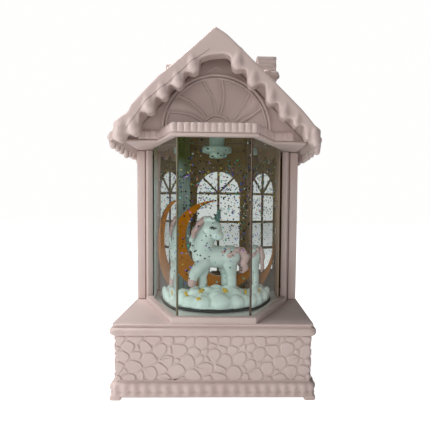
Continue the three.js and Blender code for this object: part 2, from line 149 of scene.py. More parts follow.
def settle(item):
    """Puts an object's place, turn and scale into its mesh."""
    pick(item)
    bpy.ops.object.transform_apply(location=True, rotation=True, scale=True)
    return item


def metres(point):
    """A point given in millimetres, as a vector in metres."""
    return Vector(point) * MM


def add_block(low, high):
    """A block between two corners."""
    deselect_all()
    low = metres(low)
    high = metres(high)
    bpy.ops.mesh.primitive_cube_add(size=1, location=(low + high) / 2)
    item = bpy.context.active_object
    item.scale = high - low
    return settle(item)


def add_ball(centre, radii, segments=20, rings=12, turn=(0, 0, 0)):
    """An ellipsoid with these three half sizes."""
    deselect_all()
    bpy.ops.mesh.primitive_uv_sphere_add(
        segments=segments, ring_count=rings, radius=1, location=metres(centre), rotation=turn
    )
    item = bpy.context.active_object
    item.scale = metres(radii)
    return settle(item)


def add_rod(start, end, start_radius, end_radius, sides=18):
    """A tapered round bar between two points."""
    deselect_all()
    start = metres(start)
    span = metres(end) - start
    turn = span.to_track_quat("Z", "Y").to_euler()
    bpy.ops.mesh.primitive_cone_add(
        vertices=sides,
        radius1=start_radius * MM,
        radius2=end_radius * MM,
        depth=span.length,
        location=start + span / 2,
        rotation=turn,
    )
    return settle(bpy.context.active_object)


def add_limb(joints, sides=18):
    """A run of tapered bars with a ball at each joint; joints are ((x, y, z), radius)."""
    parts = []
    for centre, radius in joints:
        parts.append(add_ball(centre, (radius, radius, radius), sides, 12))
    for (start, start_radius), (end, end_radius) in zip(joints, joints[1:]):
        parts.append(add_rod(start, end, start_radius, end_radius, sides))
    return parts


def join(name, parts):
    """Joins several objects into one, under a new name."""
    pick(*parts)
    if len(parts) > 1:
        bpy.ops.object.join()
    item = bpy.context.active_object
    item.name = name
    item.data.name = name
    return item


def apply_modifier(item, kind, **settings):
    """Adds one modifier with these settings and applies it."""
    pick(item)
    modifier = item.modifiers.new(kind.title(), kind)
    for key, value in settings.items():
        setattr(modifier, key, value)
    bpy.ops.object.modifier_apply(modifier=modifier.name)
    return item


def smooth(item, angle=None):
    """Shades one object smooth, but for the edges sharper than an angle in degrees."""
    pick(item)
    if angle is None:
        bpy.ops.object.shade_smooth()
    else:
        bpy.ops.object.shade_smooth_by_angle(angle=math.radians(angle))
    return item


def melt(item, voxel, smoothing=4):
    """Blends overlapping solids into one soft skin."""
    apply_modifier(item, "REMESH", mode="VOXEL", voxel_size=voxel * MM, use_smooth_shade=True)
    apply_modifier(item, "SMOOTH", factor=0.5, iterations=smoothing)
    return smooth(item)


def soften(item, width, segments=2, angle=28):
    """Rounds the edges sharper than an angle and shades the rest smooth."""
    apply_modifier(
        item,
        "BEVEL",
        width=width * MM,
        segments=segments,
        limit_method="ANGLE",
        angle_limit=math.radians(angle),
        use_clamp_overlap=True,
        harden_normals=False,
    )
    return smooth(item, 35)


def in_edit(item, *steps):
    """Runs edit-mode steps on the whole of an object's mesh."""
    pick(item)
    bpy.ops.object.mode_set(mode="EDIT")
    for step in steps:
        bpy.ops.mesh.select_all(action="SELECT")
        step()
    bpy.ops.object.mode_set(mode="OBJECT")
    return item


def recalculate():
    """Turns every selected face outwards."""
    bpy.ops.mesh.normals_make_consistent(inside=False)


def weld():
    """Merges doubled points and clears flat edges."""
    bpy.ops.mesh.remove_doubles(threshold=0.00001)
    bpy.ops.mesh.dissolve_limited(angle_limit=math.radians(1))


def keep_above(item, height, threshold=0.0001):
    """Cuts away what lies below a height and closes the cut."""
    pick(item)
    bpy.ops.object.mode_set(mode="EDIT")
    bpy.ops.mesh.select_all(action="SELECT")
    bpy.ops.mesh.bisect(
        plane_co=(0, 0, height * MM), plane_no=UP, use_fill=True, clear_inner=True, threshold=threshold
    )
    bpy.ops.object.mode_set(mode="OBJECT")
    return item


def copy_of_node(node, name):
    """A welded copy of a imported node, free to be shaped; the node itself is left alone."""
    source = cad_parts[node]
    item = bpy.data.objects.new(name, source.data.copy())
    item.data.materials.clear()
    bpy.context.collection.objects.link(item)
    return in_edit(item, weld)


def object_from(name, build):
    """A new object whose mesh a function fills in, through bmesh."""
    mesh = bpy.data.meshes.new(name)
    shape = bmesh.new()
    build(shape)
    shape.to_mesh(mesh)
    shape.free()
    item = bpy.data.objects.new(name, mesh)
    bpy.context.collection.objects.link(item)
    return item


def add_prism(name, outline, shift):
    """A flat outline of points, extruded by a vector."""

    def fill(shape):
        shape.faces.new([shape.verts.new(metres(point)) for point in outline])

    def push():
        bpy.ops.mesh.extrude_region_move(TRANSFORM_OT_translate={"value": metres(shift)})

    return in_edit(object_from(name, fill), push, recalculate)


def cut(item, tool):
    """Takes one solid out of another and removes the tool."""
    apply_modifier(item, "BOOLEAN", operation="DIFFERENCE", solver="EXACT", object=tool)
    bpy.data.objects.remove(tool)
    return item


def add_sheet_of(name, rows, closed_rows, closed_ends=False):
    """A skin through rows of points; rows may close on themselves, and so may the run of rows."""

    def fill(shape):
        grid = [[shape.verts.new(metres(point)) for point in row] for row in rows]
        count = len(rows[0])
        pairs = list(zip(grid, grid[1:]))
        if closed_ends:
            pairs.append((grid[-1], grid[0]))
        for one, other in pairs:
            for i in range(count if closed_rows else count - 1):
                j = (i + 1) % count
                shape.faces.new((one[i], one[j], other[j], other[i]))
        if closed_rows and not closed_ends:
            shape.faces.new(grid[0])
            shape.faces.new(grid[-1])

    return in_edit(object_from(name, fill), recalculate)


def add_bead(name, points, radius, sides=8):
    """A thin round bead along a run of points."""
    curve = bpy.data.curves.new(name, "CURVE")
    curve.dimensions = "3D"
    curve.bevel_depth = radius * MM
    curve.bevel_resolution = max(1, sides // 4)
    curve.use_fill_caps = True
    spline = curve.splines.new("POLY")
    spline.points.add(len(points) - 1)
    for spot, point in zip(spline.points, points):
        spot.co = (*metres(point), 1)
    item = bpy.data.objects.new(name, curve)
    bpy.context.collection.objects.link(item)
    pick(item)
    bpy.ops.object.convert(target="MESH")
    return smooth(bpy.context.active_object)


def smooth_run(points, steps=8):
    """A Catmull-Rom curve through a few points, as many points."""
    spots = [Vector(p) for p in points]
    spots = [spots[0] * 2 - spots[1], *spots, spots[-1] * 2 - spots[-2]]
    run = []
    for before, start, end, after in zip(spots, spots[1:], spots[2:], spots[3:]):
        for i in range(steps):
            t = i / steps
            run.append(
                0.5
                * (
                    2 * start
                    + (end - before) * t
                    + (2 * before - 5 * start + 4 * end - after) * t**2
                    + (3 * start - before - 3 * end + after) * t**3
                )
            )
    run.append(spots[-2])
    return run


def dress(item, body, slot, material, *nodes):
    """Gives a finished piece its body and material, and hides the nodes that it stands for; the slot is not
    used.
    """
    item.data.materials.clear()
    item.data.materials.append(material)
    if nodes:
        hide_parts(*nodes)
    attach(item, body)
    deselect_all()
    return item


def hexagon(offset):
    """The tank's plan outline with each side moved out by a distance."""
    front_y = HEXAGON_FRONT[1] + offset
    side = HEXAGON_SIDE + offset * math.hypot(1, HEXAGON_SLOPE) / HEXAGON_SLOPE
    front = side - front_y / HEXAGON_SLOPE
    return [(front, -front_y), (side, 0), (front, front_y), (-front, front_y), (-side, 0), (-front, -front_y)]


def bay_side(offset, y):
    """Where the slanted side of the offset hexagon crosses a given y in front of the middle."""
    return hexagon(offset)[1][0] + y / HEXAGON_SLOPE


def round_corners(corners, radius, closed):
    """A plan path with each corner turned into a short curve of points."""
    spots = [Vector(c) for c in corners]
    count = len(spots)
    rounded = []
    for i, spot in enumerate(spots):
        if not closed and i in (0, count - 1):
            rounded.append(spot)
            continue
        before = spots[i - 1] - spot
        after = spots[(i + 1) % count] - spot
        reach = min(radius, 0.45 * before.length, 0.45 * after.length)
        start = spot + before.normalized() * reach
        end = spot + after.normalized() * reach
        for k in range(7):
            t = k / 6
            rounded.append((1 - t) ** 2 * start + 2 * t * (1 - t) * spot + t**2 * end)
    if closed:
        rounded.append(rounded[0].copy())
    return rounded


def walk(corners, radius, step, closed):
    """Points along a plan path with rounded corners: (point, outward normal, distance run)."""
    rounded = round_corners(corners, radius, closed)
    run = []
    travelled = 0
    for start, end in zip(rounded, rounded[1:]):
        length = (end - start).length
        if length < 1e-6:
            continue
        pieces = max(1, round(length / step))
        for k in range(pieces):
            run.append((start.lerp(end, k / pieces), travelled + length * k / pieces))
        travelled += length
    if not closed:
        run.append((rounded[-1], travelled))
    path = []
    last = len(run) - 1
    for i, (spot, distance) in enumerate(run):
        if closed:
            span = run[(i + 1) % len(run)][0] - run[i - 1][0]
        else:
            span = run[min(i + 1, last)][0] - run[max(i - 1, 0)][0]
        normal = Vector((span.y, -span.x)).normalized()
        path.append((spot, normal, distance))
    return path


def rectangle(half_x, half_y):
    """The corners of a centred rectangle, anticlockwise from above."""
    return [(-half_x, -half_y), (half_x, -half_y), (half_x, half_y), (-half_x, half_y)]


# ---- finishes ----
def node_group(name, inputs, outputs):
    """A new shader node group with these sockets, and its input and output nodes."""
    group = bpy.data.node_groups.new(name, "ShaderNodeTree")
    for socket, kind, default in inputs:
        made = group.interface.new_socket(name=socket, in_out="INPUT", socket_type=kind)
        made.default_value = default
    for socket, kind in outputs:
        group.interface.new_socket(name=socket, in_out="OUTPUT", socket_type=kind)
    start = group.nodes.new("NodeGroupInput")
    end = group.nodes.new("NodeGroupOutput")
    return group, start, end


def add_node(tree, kind, inputs=None, **settings):
    """A node with its settings, and its inputs given as values or as sockets to link."""
    node = tree.nodes.new(kind)
    for key, value in settings.items():
        setattr(node, key, value)
    for key, value in (inputs or {}).items():
        if isinstance(value, bpy.types.NodeSocket):
            tree.links.new(value, node.inputs[key])
        else:
            node.inputs[key].default_value = value
    return node


def mix_colours(tree, factor, one, other, blend="MIX"):
    """The result socket of a colour mix; each argument is a value or a socket."""
    node = add_node(tree, "ShaderNodeMix", data_type="RGBA", blend_type=blend)
    for index, value in ((0, factor), (6, one), (7, other)):
        if isinstance(value, bpy.types.NodeSocket):
            tree.links.new(value, node.inputs[index])
        elif index == 0:
            node.inputs[index].default_value = value
        else:
            node.inputs[index].default_value = (*value[:3], 1)
    return node.outputs[2]


def combined(tree, operation, one, other):
    """The result socket of a sum, a product or a maximum of two values."""
    return add_node(tree, "ShaderNodeMath", {0: one, 1: other}, operation=operation).outputs[0]


def ranged(tree, value, low, high, new_low, new_high):
    """A value carried smoothly from one range to another."""
    node = add_node(
        tree,
        "ShaderNodeMapRange",
        {"Value": value, "From Min": low, "From Max": high, "To Min": new_low, "To Max": new_high},
    )
    return node.outputs[0]


def make_moulding_group():
    """Soft patches, paler sharp edges, painted shade in the hollows and fine grain of moulded plastic."""
    group, start, end = node_group(
        "Moulded surface",
        [
            ("Colour", "NodeSocketColor", (1, 1, 1, 1)),
            ("Hollow Colour", "NodeSocketColor", (1, 1, 1, 1)),
            ("Patch Scale", "NodeSocketFloat", 30),
            ("Grain Scale", "NodeSocketFloat", 1500),
            ("Roughness", "NodeSocketFloat", 0.45),
            ("Hollow Shade And Pale Edges", "NodeSocketFloat", 1),
        ],
        [("Colour", "NodeSocketColor"), ("Roughness", "NodeSocketFloat"), ("Height", "NodeSocketFloat")],
    )
    place = add_node(group, "ShaderNodeTexCoord").outputs["Object"]
    patch = add_node(
        group, "ShaderNodeTexNoise", {"Vector": place, "Scale": start.outputs["Patch Scale"], "Detail": 4}
    ).outputs["Fac"]
    grain = add_node(
        group, "ShaderNodeTexNoise", {"Vector": place, "Scale": start.outputs["Grain Scale"], "Detail": 2}
    ).outputs["Fac"]
    curve = add_node(group, "ShaderNodeNewGeometry").outputs["Pointiness"]
    mottled = mix_colours(
        group,
        ranged(group, patch, 0.35, 0.75, 0.0, 0.35),
        start.outputs["Colour"],
        start.outputs["Hollow Colour"],
    )
    hollow_shade_and_pale_edges = start.outputs["Hollow Shade And Pale Edges"]
    # Painted shade: hollows, found by pointiness, turn towards the shade colour.
    hollow_shade = combined(group, "MULTIPLY", ranged(group, curve, 0.5, 0.44, 0, 0.8), hollow_shade_and_pale_edges)
    # Sharp edges, found by pointiness, turn paler.
    pale_edges = combined(group, "MULTIPLY", ranged(group, curve, 0.53, 0.62, 0, 0.2), hollow_shade_and_pale_edges)
    shaded_hollows = mix_colours(group, hollow_shade, mottled, start.outputs["Hollow Colour"])
    with_pale_edges = mix_colours(group, pale_edges, shaded_hollows, (0.9, 0.84, 0.82))
    rough = ranged(group, patch, 0.3, 0.7, -0.06, 0.06)
    total = combined(group, "ADD", start.outputs["Roughness"], rough)
    group.links.new(with_pale_edges, end.inputs["Colour"])
    group.links.new(total, end.inputs["Roughness"])
    group.links.new(grain, end.inputs["Height"])
    return group


def make_streak_group():
    """Fine drawn streaks along one direction, for plated metal and wrapped cells."""
    group, start, end = node_group(
        "Drawn streaks",
        [
            ("Colour", "NodeSocketColor", (1, 1, 1, 1)),
            ("Streak Colour", "NodeSocketColor", (1, 1, 1, 1)),
            ("Scale", "NodeSocketFloat", 900),
            ("Roughness", "NodeSocketFloat", 0.3),
        ],
        [("Colour", "NodeSocketColor"), ("Roughness", "NodeSocketFloat"), ("Height", "NodeSocketFloat")],
    )
    place = add_node(group, "ShaderNodeTexCoord").outputs["Object"]
    drawn = add_node(group, "ShaderNodeMapping", {"Vector": place, "Scale": (0.08, 1, 1)}).outputs[0]
    streak = add_node(
        group, "ShaderNodeTexNoise", {"Vector": drawn, "Scale": start.outputs["Scale"], "Detail": 3}
    ).outputs["Fac"]
    tinted = mix_colours(
        group, ranged(group, streak, 0.3, 0.7, 0, 1), start.outputs["Colour"], start.outputs["Streak Colour"]
    )
    rough = ranged(group, streak, 0.3, 0.7, -0.08, 0.1)
    total = combined(group, "ADD", start.outputs["Roughness"], rough)
    group.links.new(tinted, end.inputs["Colour"])
    group.links.new(total, end.inputs["Roughness"])
    group.links.new(streak, end.inputs["Height"])
    return group


GROUPS = {}


def new_material(name):
    """An empty node material with its output and a Principled shader."""
    material = bpy.data.materials.new(name)
    material.use_nodes = True
    tree = material.node_tree
    tree.nodes.clear()
    output = tree.nodes.new("ShaderNodeOutputMaterial")
    shader = tree.nodes.new("ShaderNodeBsdfPrincipled")
    tree.links.new(shader.outputs[0], output.inputs["Surface"])
    return material, tree, shader, output


def on_group(name, key, values, bump, plain):
    """A material on one of the shared groups; plain values go on the shader's own sockets."""
    material, tree, shader, _ = new_material(name)
    surface = tree.nodes.new("ShaderNodeGroup")
    surface.node_tree = GROUPS[key]
    finish_shader(tree, shader, surface, values, bump, plain)
    return material


def moulded(name, colour, shade_and_mottle, patch=30, roughness=0.45, bump=0.06, hollow_shade_and_pale_edges=1, **plain):
    """A material on the moulded-surface group."""
    values = {
        "Colour": (*colour[:3], 1),
        "Hollow Colour": (*shade_and_mottle[:3], 1),
        "Patch Scale": patch,
        "Grain Scale": 1500,
        "Roughness": roughness,
        "Hollow Shade And Pale Edges": hollow_shade_and_pale_edges,
    }
    return on_group(name, "moulded", values, bump, plain)


def drawn(name, colour, streak, scale, roughness, **plain):
    """A material on the drawn-streaks group."""
    values = {
        "Colour": (*colour[:3], 1),
        "Streak Colour": (*streak[:3], 1),
        "Scale": scale,
        "Roughness": roughness,
    }
    return on_group(name, "drawn", values, 0.05, plain)


def finish_shader(tree, shader, surface, values, bump, plain):
    """Feeds a surface group into a shader, with a bump and the plain values."""
    for key, value in values.items():
        surface.inputs[key].default_value = value
    tree.links.new(surface.outputs["Colour"], shader.inputs["Base Color"])
    tree.links.new(surface.outputs["Roughness"], shader.inputs["Roughness"])
    height = add_node(
        tree, "ShaderNodeBump", {"Height": surface.outputs["Height"], "Strength": bump, "Distance": 0.0004}
    )
    tree.links.new(height.outputs[0], shader.inputs["Normal"])
    for key, value in plain.items():
        shader.inputs[key.replace("_", " ").title().replace("Ior", "IOR")].default_value = value


def let_lamps_through(tree, shader, output, tint):
    """Mixes a clear shader in for shadow rays, so that what stands behind the glass is lit."""
    clear = add_node(tree, "ShaderNodeBsdfTransparent", {"Color": (*tint, 1)})
    path = tree.nodes.new("ShaderNodeLightPath")
    mixer = add_node(
        tree,
        "ShaderNodeMixShader",
        {0: path.outputs["Is Shadow Ray"], 1: shader.outputs[0], 2: clear.outputs[0]},
    )
    tree.links.new(mixer.outputs[0], output.inputs["Surface"])


def water_material():
    """Clear tank wall and water as one body, with faint smears that vary its tint."""
    material, tree, shader, output = new_material("clear tank and water")
    tint = tuple(colours().water)
    place = add_node(tree, "ShaderNodeTexCoord").outputs["Object"]
    smear = add_node(tree, "ShaderNodeTexNoise", {"Vector": place, "Scale": 45, "Detail": 3}).outputs["Fac"]
    tree.links.new(mix_colours(tree, smear, tint, [0.985 * c for c in tint]), shader.inputs["Base Color"])
    shader.inputs["Roughness"].default_value = 0
    shader.inputs["IOR"].default_value = 1.345
    shader.inputs["Transmission Weight"].default_value = 1
    shader.inputs["Specular IOR Level"].default_value = 0.1
    let_lamps_through(tree, shader, output, tint)
    return material


def flake_material():
    """Foil flakes, each with its own colour from the mesh, mottled with a fine foil grain."""
    material, tree, shader, _ = new_material("foil flakes")
    tint = add_node(tree, "ShaderNodeVertexColor", layer_name="Flake Colour").outputs["Color"]
    place = add_node(tree, "ShaderNodeTexCoord").outputs["Object"]
    foil = add_node(tree, "ShaderNodeTexNoise", {"Vector": place, "Scale": 1800}).outputs["Fac"]
    shade = mix_colours(tree, ranged(tree, foil, 0.3, 0.7, 0, 0.35), tint, (0.02, 0.02, 0.02), "MULTIPLY")
    tree.links.new(shade, shader.inputs["Base Color"])
    tree.links.new(ranged(tree, foil, 0.3, 0.7, 0.2, 0.4), shader.inputs["Roughness"])
    shader.inputs["Metallic"].default_value = 0.55
    return material


def circuit_material():
    """Green circuit board with lighter tracks."""
    material, tree, shader, _ = new_material("circuit board lacquer")
    place = add_node(tree, "ShaderNodeTexCoord").outputs["Object"]
    tracks = add_node(
        tree, "ShaderNodeTexVoronoi", {"Vector": place, "Scale": 260}, distance="MANHATTAN"
    ).outputs["Distance"]
    mask = ranged(tree, tracks, 0.42, 0.5, 0, 1)
    colour = mix_colours(tree, mask, (0.015, 0.11, 0.035), (0.06, 0.26, 0.09))
    tree.links.new(colour, shader.inputs["Base Color"])
    tree.links.new(ranged(tree, tracks, 0, 0.6, 0.25, 0.5), shader.inputs["Roughness"])
    return material


def pane_material(name, lower, upper, streak, glow):
    """Cloudy tank side: a lower tint that turns into an upper one, with upright streaks and a faint glow of
    painted light.
    """
    material, tree, shader, _ = new_material(name)
    place = add_node(tree, "ShaderNodeTexCoord").outputs["Object"]
    height = add_node(tree, "ShaderNodeSeparateXYZ", {0: place}).outputs["Z"]
    tall = add_node(tree, "ShaderNodeMapping", {"Vector": place, "Scale": (1, 1, 0.03)}).outputs[0]
    bars = add_node(tree, "ShaderNodeTexNoise", {"Vector": tall, "Scale": 230, "Detail": 2}).outputs["Fac"]
    cloud = add_node(tree, "ShaderNodeTexNoise", {"Vector": place, "Scale": 40, "Detail": 3}).outputs["Fac"]
    climb = combined(tree, "ADD", height, ranged(tree, cloud, 0, 1, -0.02, 0.02))
    tinted = mix_colours(tree, ranged(tree, climb, 0.165, 0.185, 0, 1), lower, upper)
    streaked = mix_colours(tree, ranged(tree, bars, 0.45, 0.7, 0, 0.75), tinted, streak)
    tree.links.new(streaked, shader.inputs["Base Color"])
    tree.links.new(ranged(tree, bars, 0.3, 0.7, 0.35, 0.55), shader.inputs["Roughness"])
    # Painted light: the side glows in its own streaked colour, though it is no lamp.
    tree.links.new(streaked, shader.inputs["Emission Color"])
    shader.inputs["Emission Strength"].default_value = glow
    shader.inputs["Specular IOR Level"].default_value = 0.1
    shader.inputs["Alpha"].default_value = 0.7
    return material


FINISHES = {}


def shaded(colour, factor):
    """A colour made darker or lighter by a factor, up to white."""
    return [min(1, c * factor) for c in colour]


def make_finishes():
    """Every finish of the lantern, built once from the colour settings."""
    GROUPS["moulded"] = make_moulding_group()
    GROUPS["drawn"] = make_streak_group()
    shades = colours()
    pink = tuple(shades.plastic)
    pink_shade = tuple(shades.plastic_shade)
    FINISHES.update(
        {
            "house": moulded("dusty pink plastic", pink, pink_shade, hollow_shade_and_pale_edges=0.5, coat_weight=0.12),
            "panel": moulded("flat panel plastic", pink, pink_shade, hollow_shade_and_pale_edges=0, coat_weight=0.12),
            "stone": moulded("stone relief plastic", pink, pink_shade, patch=55, bump=0.12, roughness=0.5),
            "snow": moulded(
                "icing plastic", shaded(pink, 1.03), pink_shade, patch=22, coat_weight=0.2, roughness=0.4
            ),
            # Painted shade: a darker copy of the house plastic for the ceiling plate inside the house.
            "inside": moulded("inner house plastic in painted shade", shaded(pink, 0.8), shaded(pink_shade, 0.6), patch=20),
            "bay_shade": moulded(
                "bay painted shade", shades.bay_shade, shaded(shades.bay_shade, 0.55), patch=26, hollow_shade_and_pale_edges=0,
                roughness=0.6, specular_ior_level=0.1,
            ),
            "seam": moulded("parting line", shades.seam, shaded(shades.seam, 0.6), roughness=0.6),
            "resin": moulded(
                "white figure resin", shades.resin, shaded(shades.resin, 0.6), patch=60,
                roughness=0.28, bump=0.03, hollow_shade_and_pale_edges=0.4, coat_weight=0.4,
            ),
            "puff": moulded(
                "white cloud resin", shaded(shades.resin, 1.38), shades.resin, patch=60,
                roughness=0.35, bump=0.03, hollow_shade_and_pale_edges=0.6, coat_weight=0.3,
            ),
            "blush": moulded(
                "pink figure paint", shades.blush, shaded(shades.blush, 0.55), patch=160,
                roughness=0.32, coat_weight=0.3,
            ),
            "horn": moulded(
                "horn paint", shades.sage, shaded(shades.sage, 0.5), patch=220, roughness=0.3, hollow_shade_and_pale_edges=0
            ),
            "lash": moulded(
                "lash paint", (0.02, 0.02, 0.03), (0.01, 0.01, 0.01), patch=300, roughness=0.4, hollow_shade_and_pale_edges=0
            ),
            "gold": drawn(
                "gold star paint", shades.gold, shaded(shades.gold, 0.7), 600, 0.3, coat_weight=0.4
            ),
            "amber": moulded(
                "amber resin", shades.amber, shaded(shades.amber, 0.55), patch=35, roughness=0.2,
                bump=0.02, hollow_shade_and_pale_edges=0, specular_ior_level=0.15,
            ),
            "frost": moulded(
                "frosted stopper", shades.frost, shaded(shades.frost, 0.6), patch=90, roughness=0.45,
                hollow_shade_and_pale_edges=0, transmission_weight=0.3,
            ),
            "white": moulded("white inner plastic", (0.74, 0.77, 0.74), (0.55, 0.58, 0.55), patch=60),
            "rubber": moulded(
                "black rubber", (0.012, 0.016, 0.016), (0.006, 0.008, 0.008), patch=120, roughness=0.6, hollow_shade_and_pale_edges=0
            ),
            "black": moulded("black plastic", (0.018, 0.02, 0.022), (0.01, 0.01, 0.012), patch=90, bump=0.2),
            "wrap": drawn("cell wrap", (0.05, 0.07, 0.09), (0.09, 0.11, 0.14), 500, 0.35, coat_weight=0.3),
            "steel": drawn("plated steel", (0.62, 0.63, 0.64), (0.5, 0.5, 0.51), 1100, 0.25, metallic=1),
            # Painted light and shade: the left seam is a lighter copy of the right one, as if lit from the
            # left.
            "edge_left": drawn(
                "tank seam, painted light", (0.17, 0.15, 0.09), (0.10, 0.10, 0.05), 700, 0.3, coat_weight=0.5
            ),
            "seam_painted_shade": drawn(
                "tank seam, painted shade", (0.10, 0.055, 0.03), (0.06, 0.035, 0.02), 700, 0.3, coat_weight=0.5
            ),
            "pane_left": pane_material(
                "cloudy side, blue grey", (0.40, 0.56, 0.53), (0.10, 0.14, 0.02), (0.26, 0.19, 0.12), 0.12
            ),
            "pane_right": pane_material(
                "cloudy side, brown", (0.34, 0.23, 0.15), (0.20, 0.14, 0.08), (0.52, 0.38, 0.29), 0.06
            ),
            "water": water_material(),
            "flakes": flake_material(),
            "circuit": circuit_material(),
        }
    )


NODE_FINISHES = {
    "black": ("battery_box", "speaker", "switch_body", "mode_switch_key"),
    "wrap": ("aa_cell_1", "aa_cell_2", "aa_cell_3"),
    "steel": (
        "contact_strip_left", "contact_strip_right", "charging_socket", "gear_motor", "drive_magnet_1",
        "drive_magnet_2", "impeller_pin", "cover_screw_1", "cover_screw_2", "cover_screw_3", "cover_screw_4",
    ),
    "circuit": ("circuit_board",),
    "white": ("magnet_rotor", "impeller", "tank_plug", "led_board"),
    "house": ("bottom_cover", "battery_door", "motor_bracket"),
    # The ceiling plate takes the darker copy of the plastic, which is painted shade.
    "inside": ("ceiling_plate",),
}


# ---- plinth ----
def scatter_stones(width, height, seed):
    """Centres and sizes of irregular stones that fill a panel, without crowding."""
    chance = random.Random(seed)
    stones = []
    for radius_low, radius_high, tries in ((4.4, 5.6, 500), (3.0, 4.2, 900), (1.9, 2.8, 900)):
        for _ in range(tries):
            radius = chance.uniform(radius_low, radius_high)
            spot = Vector((chance.uniform(0, width), chance.uniform(0, height)))
            if all((spot - other).length > 0.86 * (radius + size) for other, size in stones):
                stones.append((spot, radius))
    return stones


def clip(polygon, point, normal):
    """The part of a polygon behind a line."""
    kept = []
    for start, end in zip(polygon, polygon[1:] + polygon[:1]):
        a = (start - point).dot(normal)
        b = (end - point).dot(normal)
        if a <= 0:
            kept.append(start)
        if (a < 0 < b) or (b < 0 < a):
            kept.append(start.lerp(end, a / (a - b)))
    return kept


def stone_outline(index, stones, width, height, gap):
    """One stone's rounded outline: the space nearest to it, less half a joint all round."""
    spot, radius = stones[index]
    margin = gap * 0.3
    outline = [
        Vector((margin, margin)),
        Vector((width - margin, margin)),
        Vector((width - margin, height - margin)),
        Vector((margin, height - margin)),
    ]
    for k, (other, size) in enumerate(stones):
        span = other - spot
        if k == index or span.length > 30:
            continue
        reach = (span.length_squared + radius**2 - size**2) / (2 * span.length)
        normal = span.normalized()
        outline = clip(outline, spot + normal * (reach - gap / 2), normal)
        if len(outline) < 3:
            return []
    for _ in range(2):
        softer = []
        for start, end in zip(outline, outline[1:] + outline[:1]):
            softer += [start.lerp(end, 0.22), start.lerp(end, 0.78)]
        outline = softer
    return outline


def add_stone_panel(name, origin, across, width, seed, clearings=()):
    """A field of raised stones on one side of the plinth; across is the direction it runs."""
    low, high = STONE_HEIGHT
    out = Vector((across[1], -across[0], 0))
    across = Vector((*across, 0))
    stones = scatter_stones(width, high - low, seed)

    def place(spot, proud):
        return metres(Vector((*origin, low)) + across * spot.x + UP * spot.y + out * proud)

    def fill(shape):
        for i, (spot, _) in enumerate(stones):
            if any((spot - Vector(centre)).length < reach for centre, reach in clearings):
                continue
            outline = stone_outline(i, stones, width, high - low, sizes().stone_gap)
            if len(outline) > 2:
                shape.faces.new([shape.verts.new(place(p, -0.4)) for p in outline])

    def lift():
        bpy.ops.mesh.extrude_region_move(
            TRANSFORM_OT_translate={"value": out * (sizes().stone_rise * 0.6 + 0.4) * MM}
        )

    item = object_from(name, fill)
    in_edit(item, lift, recalculate)
    pick(item)
    bpy.ops.object.mode_set(mode="EDIT")
    bpy.ops.mesh.select_all(action="DESELECT")
    bpy.ops.object.mode_set(mode="OBJECT")
    for face in item.data.polygons:
        face.select = face.normal.dot(out) > 0.9
    bpy.ops.object.mode_set(mode="EDIT")
    bpy.ops.mesh.inset(thickness=0.00042, depth=sizes().stone_rise * 0.4 * MM, use_individual=True)
    bpy.ops.object.mode_set(mode="OBJECT")
    return smooth(item, 40)


def add_roll(name, path, profile, swell):
    """A moulding that follows a closed path; swell(distance, height) adds to how far it stands out."""
    rows = []
    for spot, normal, distance in path:
        row = []
        for out, z, share in profile:
            reach = out + share * swell(distance, z)
            row.append((spot.x + normal.x * reach, spot.y + normal.y * reach, z))
        rows.append(row)
    return add_sheet_of(name, rows, closed_rows=True, closed_ends=True)


def half_turn(out, low, high, depth, share, steps=9):
    """Profile points round a bulging edge, from its foot to its top."""
    points = []
    for i in range(steps + 1):
        angle = (i / steps - 0.5) * math.pi
        z = (low + high) / 2 + (high - low) / 2 * math.sin(angle)
        points.append((out - depth * (1 - math.cos(angle) ** 0.8), z, share))
    return points


class LANTERN_OT_plinth(bpy.types.Operator):
    """Models the stone-faced plinth with its lumpy skirting and feet"""

    bl_idname = "lantern.plinth"
    bl_label = "Plinth"

    def execute(self, context):
        half_x, half_y = PLINTH_HALF
        walls = keep_above(copy_of_node("base_housing", "plinth_walls"), WALL_FOOT, threshold=1e-6)
        soften(walls, 0.5)
        switch_clearing = [((half_x - SLOT_X, 16), 10.5), ((half_x + SLOT_X, 16), 9)]
        panels = [
            add_stone_panel("stones_front", (-half_x, -half_y), (1, 0), 2 * half_x, 11),
            add_stone_panel("stones_right", (half_x, -half_y), (0, 1), 2 * half_y, 12),
            add_stone_panel("stones_back", (half_x, half_y), (-1, 0), 2 * half_x, 13, switch_clearing),
            add_stone_panel("stones_left", (-half_x, half_y), (0, -1), 2 * half_y, 14),
        ]
        path = walk(rectangle(76.6, 67.4), 7, 1.3, closed=True)

        def lumps(distance, z):
            wave = math.sin(distance * 2 * math.pi / 7.7 + 1.6 * math.sin(distance / 23))
            return 0.7 * wave * math.sin((z - 2.3) / 11.7 * math.pi) - 0.3

        profile = [(-6.5, 2.3, 0), (-1.2, 2.3, 1), (-0.3, 3.0, 1), (0, 4.4, 1)]
        profile += half_turn(0.2, 5.4, 13.2, 3.2, 1)[2:]
        profile += [(-3.6, 14.0, 0.4), (-3.9, 14.8, 0), (-5, 15.2, 0), (-6.5, 15.2, 0)]
        skirting = add_roll("skirting", path, profile, lumps)
        smooth(skirting)
        plinth = join("stone_plinth", [walls, skirting, *panels])
        dress(plinth, "root", "pink_shell", FINISHES["stone"], "base_housing")
        for side in ("front_left", "front_right", "rear_left", "rear_right"):
            foot = self.add_foot(f"pad_{side}", -1 if "left" in side else 1, -1 if "front" in side else 1)
            dress(foot, "root", "pink_shell", FINISHES["house"], f"foot_{side}")
        return {"FINISHED"}

    def add_foot(self, name, side, end):
        """A rounded corner foot that the skirting runs into."""
        left, right = sorted((side * 67.5, side * 76.2))
        front, back = sorted((end * 58, end * 67))
        foot = add_block((left, front, 0.02), (right, back, 4.2))
        soften(foot, 1.6, 4)
        foot.name = name
        return foot


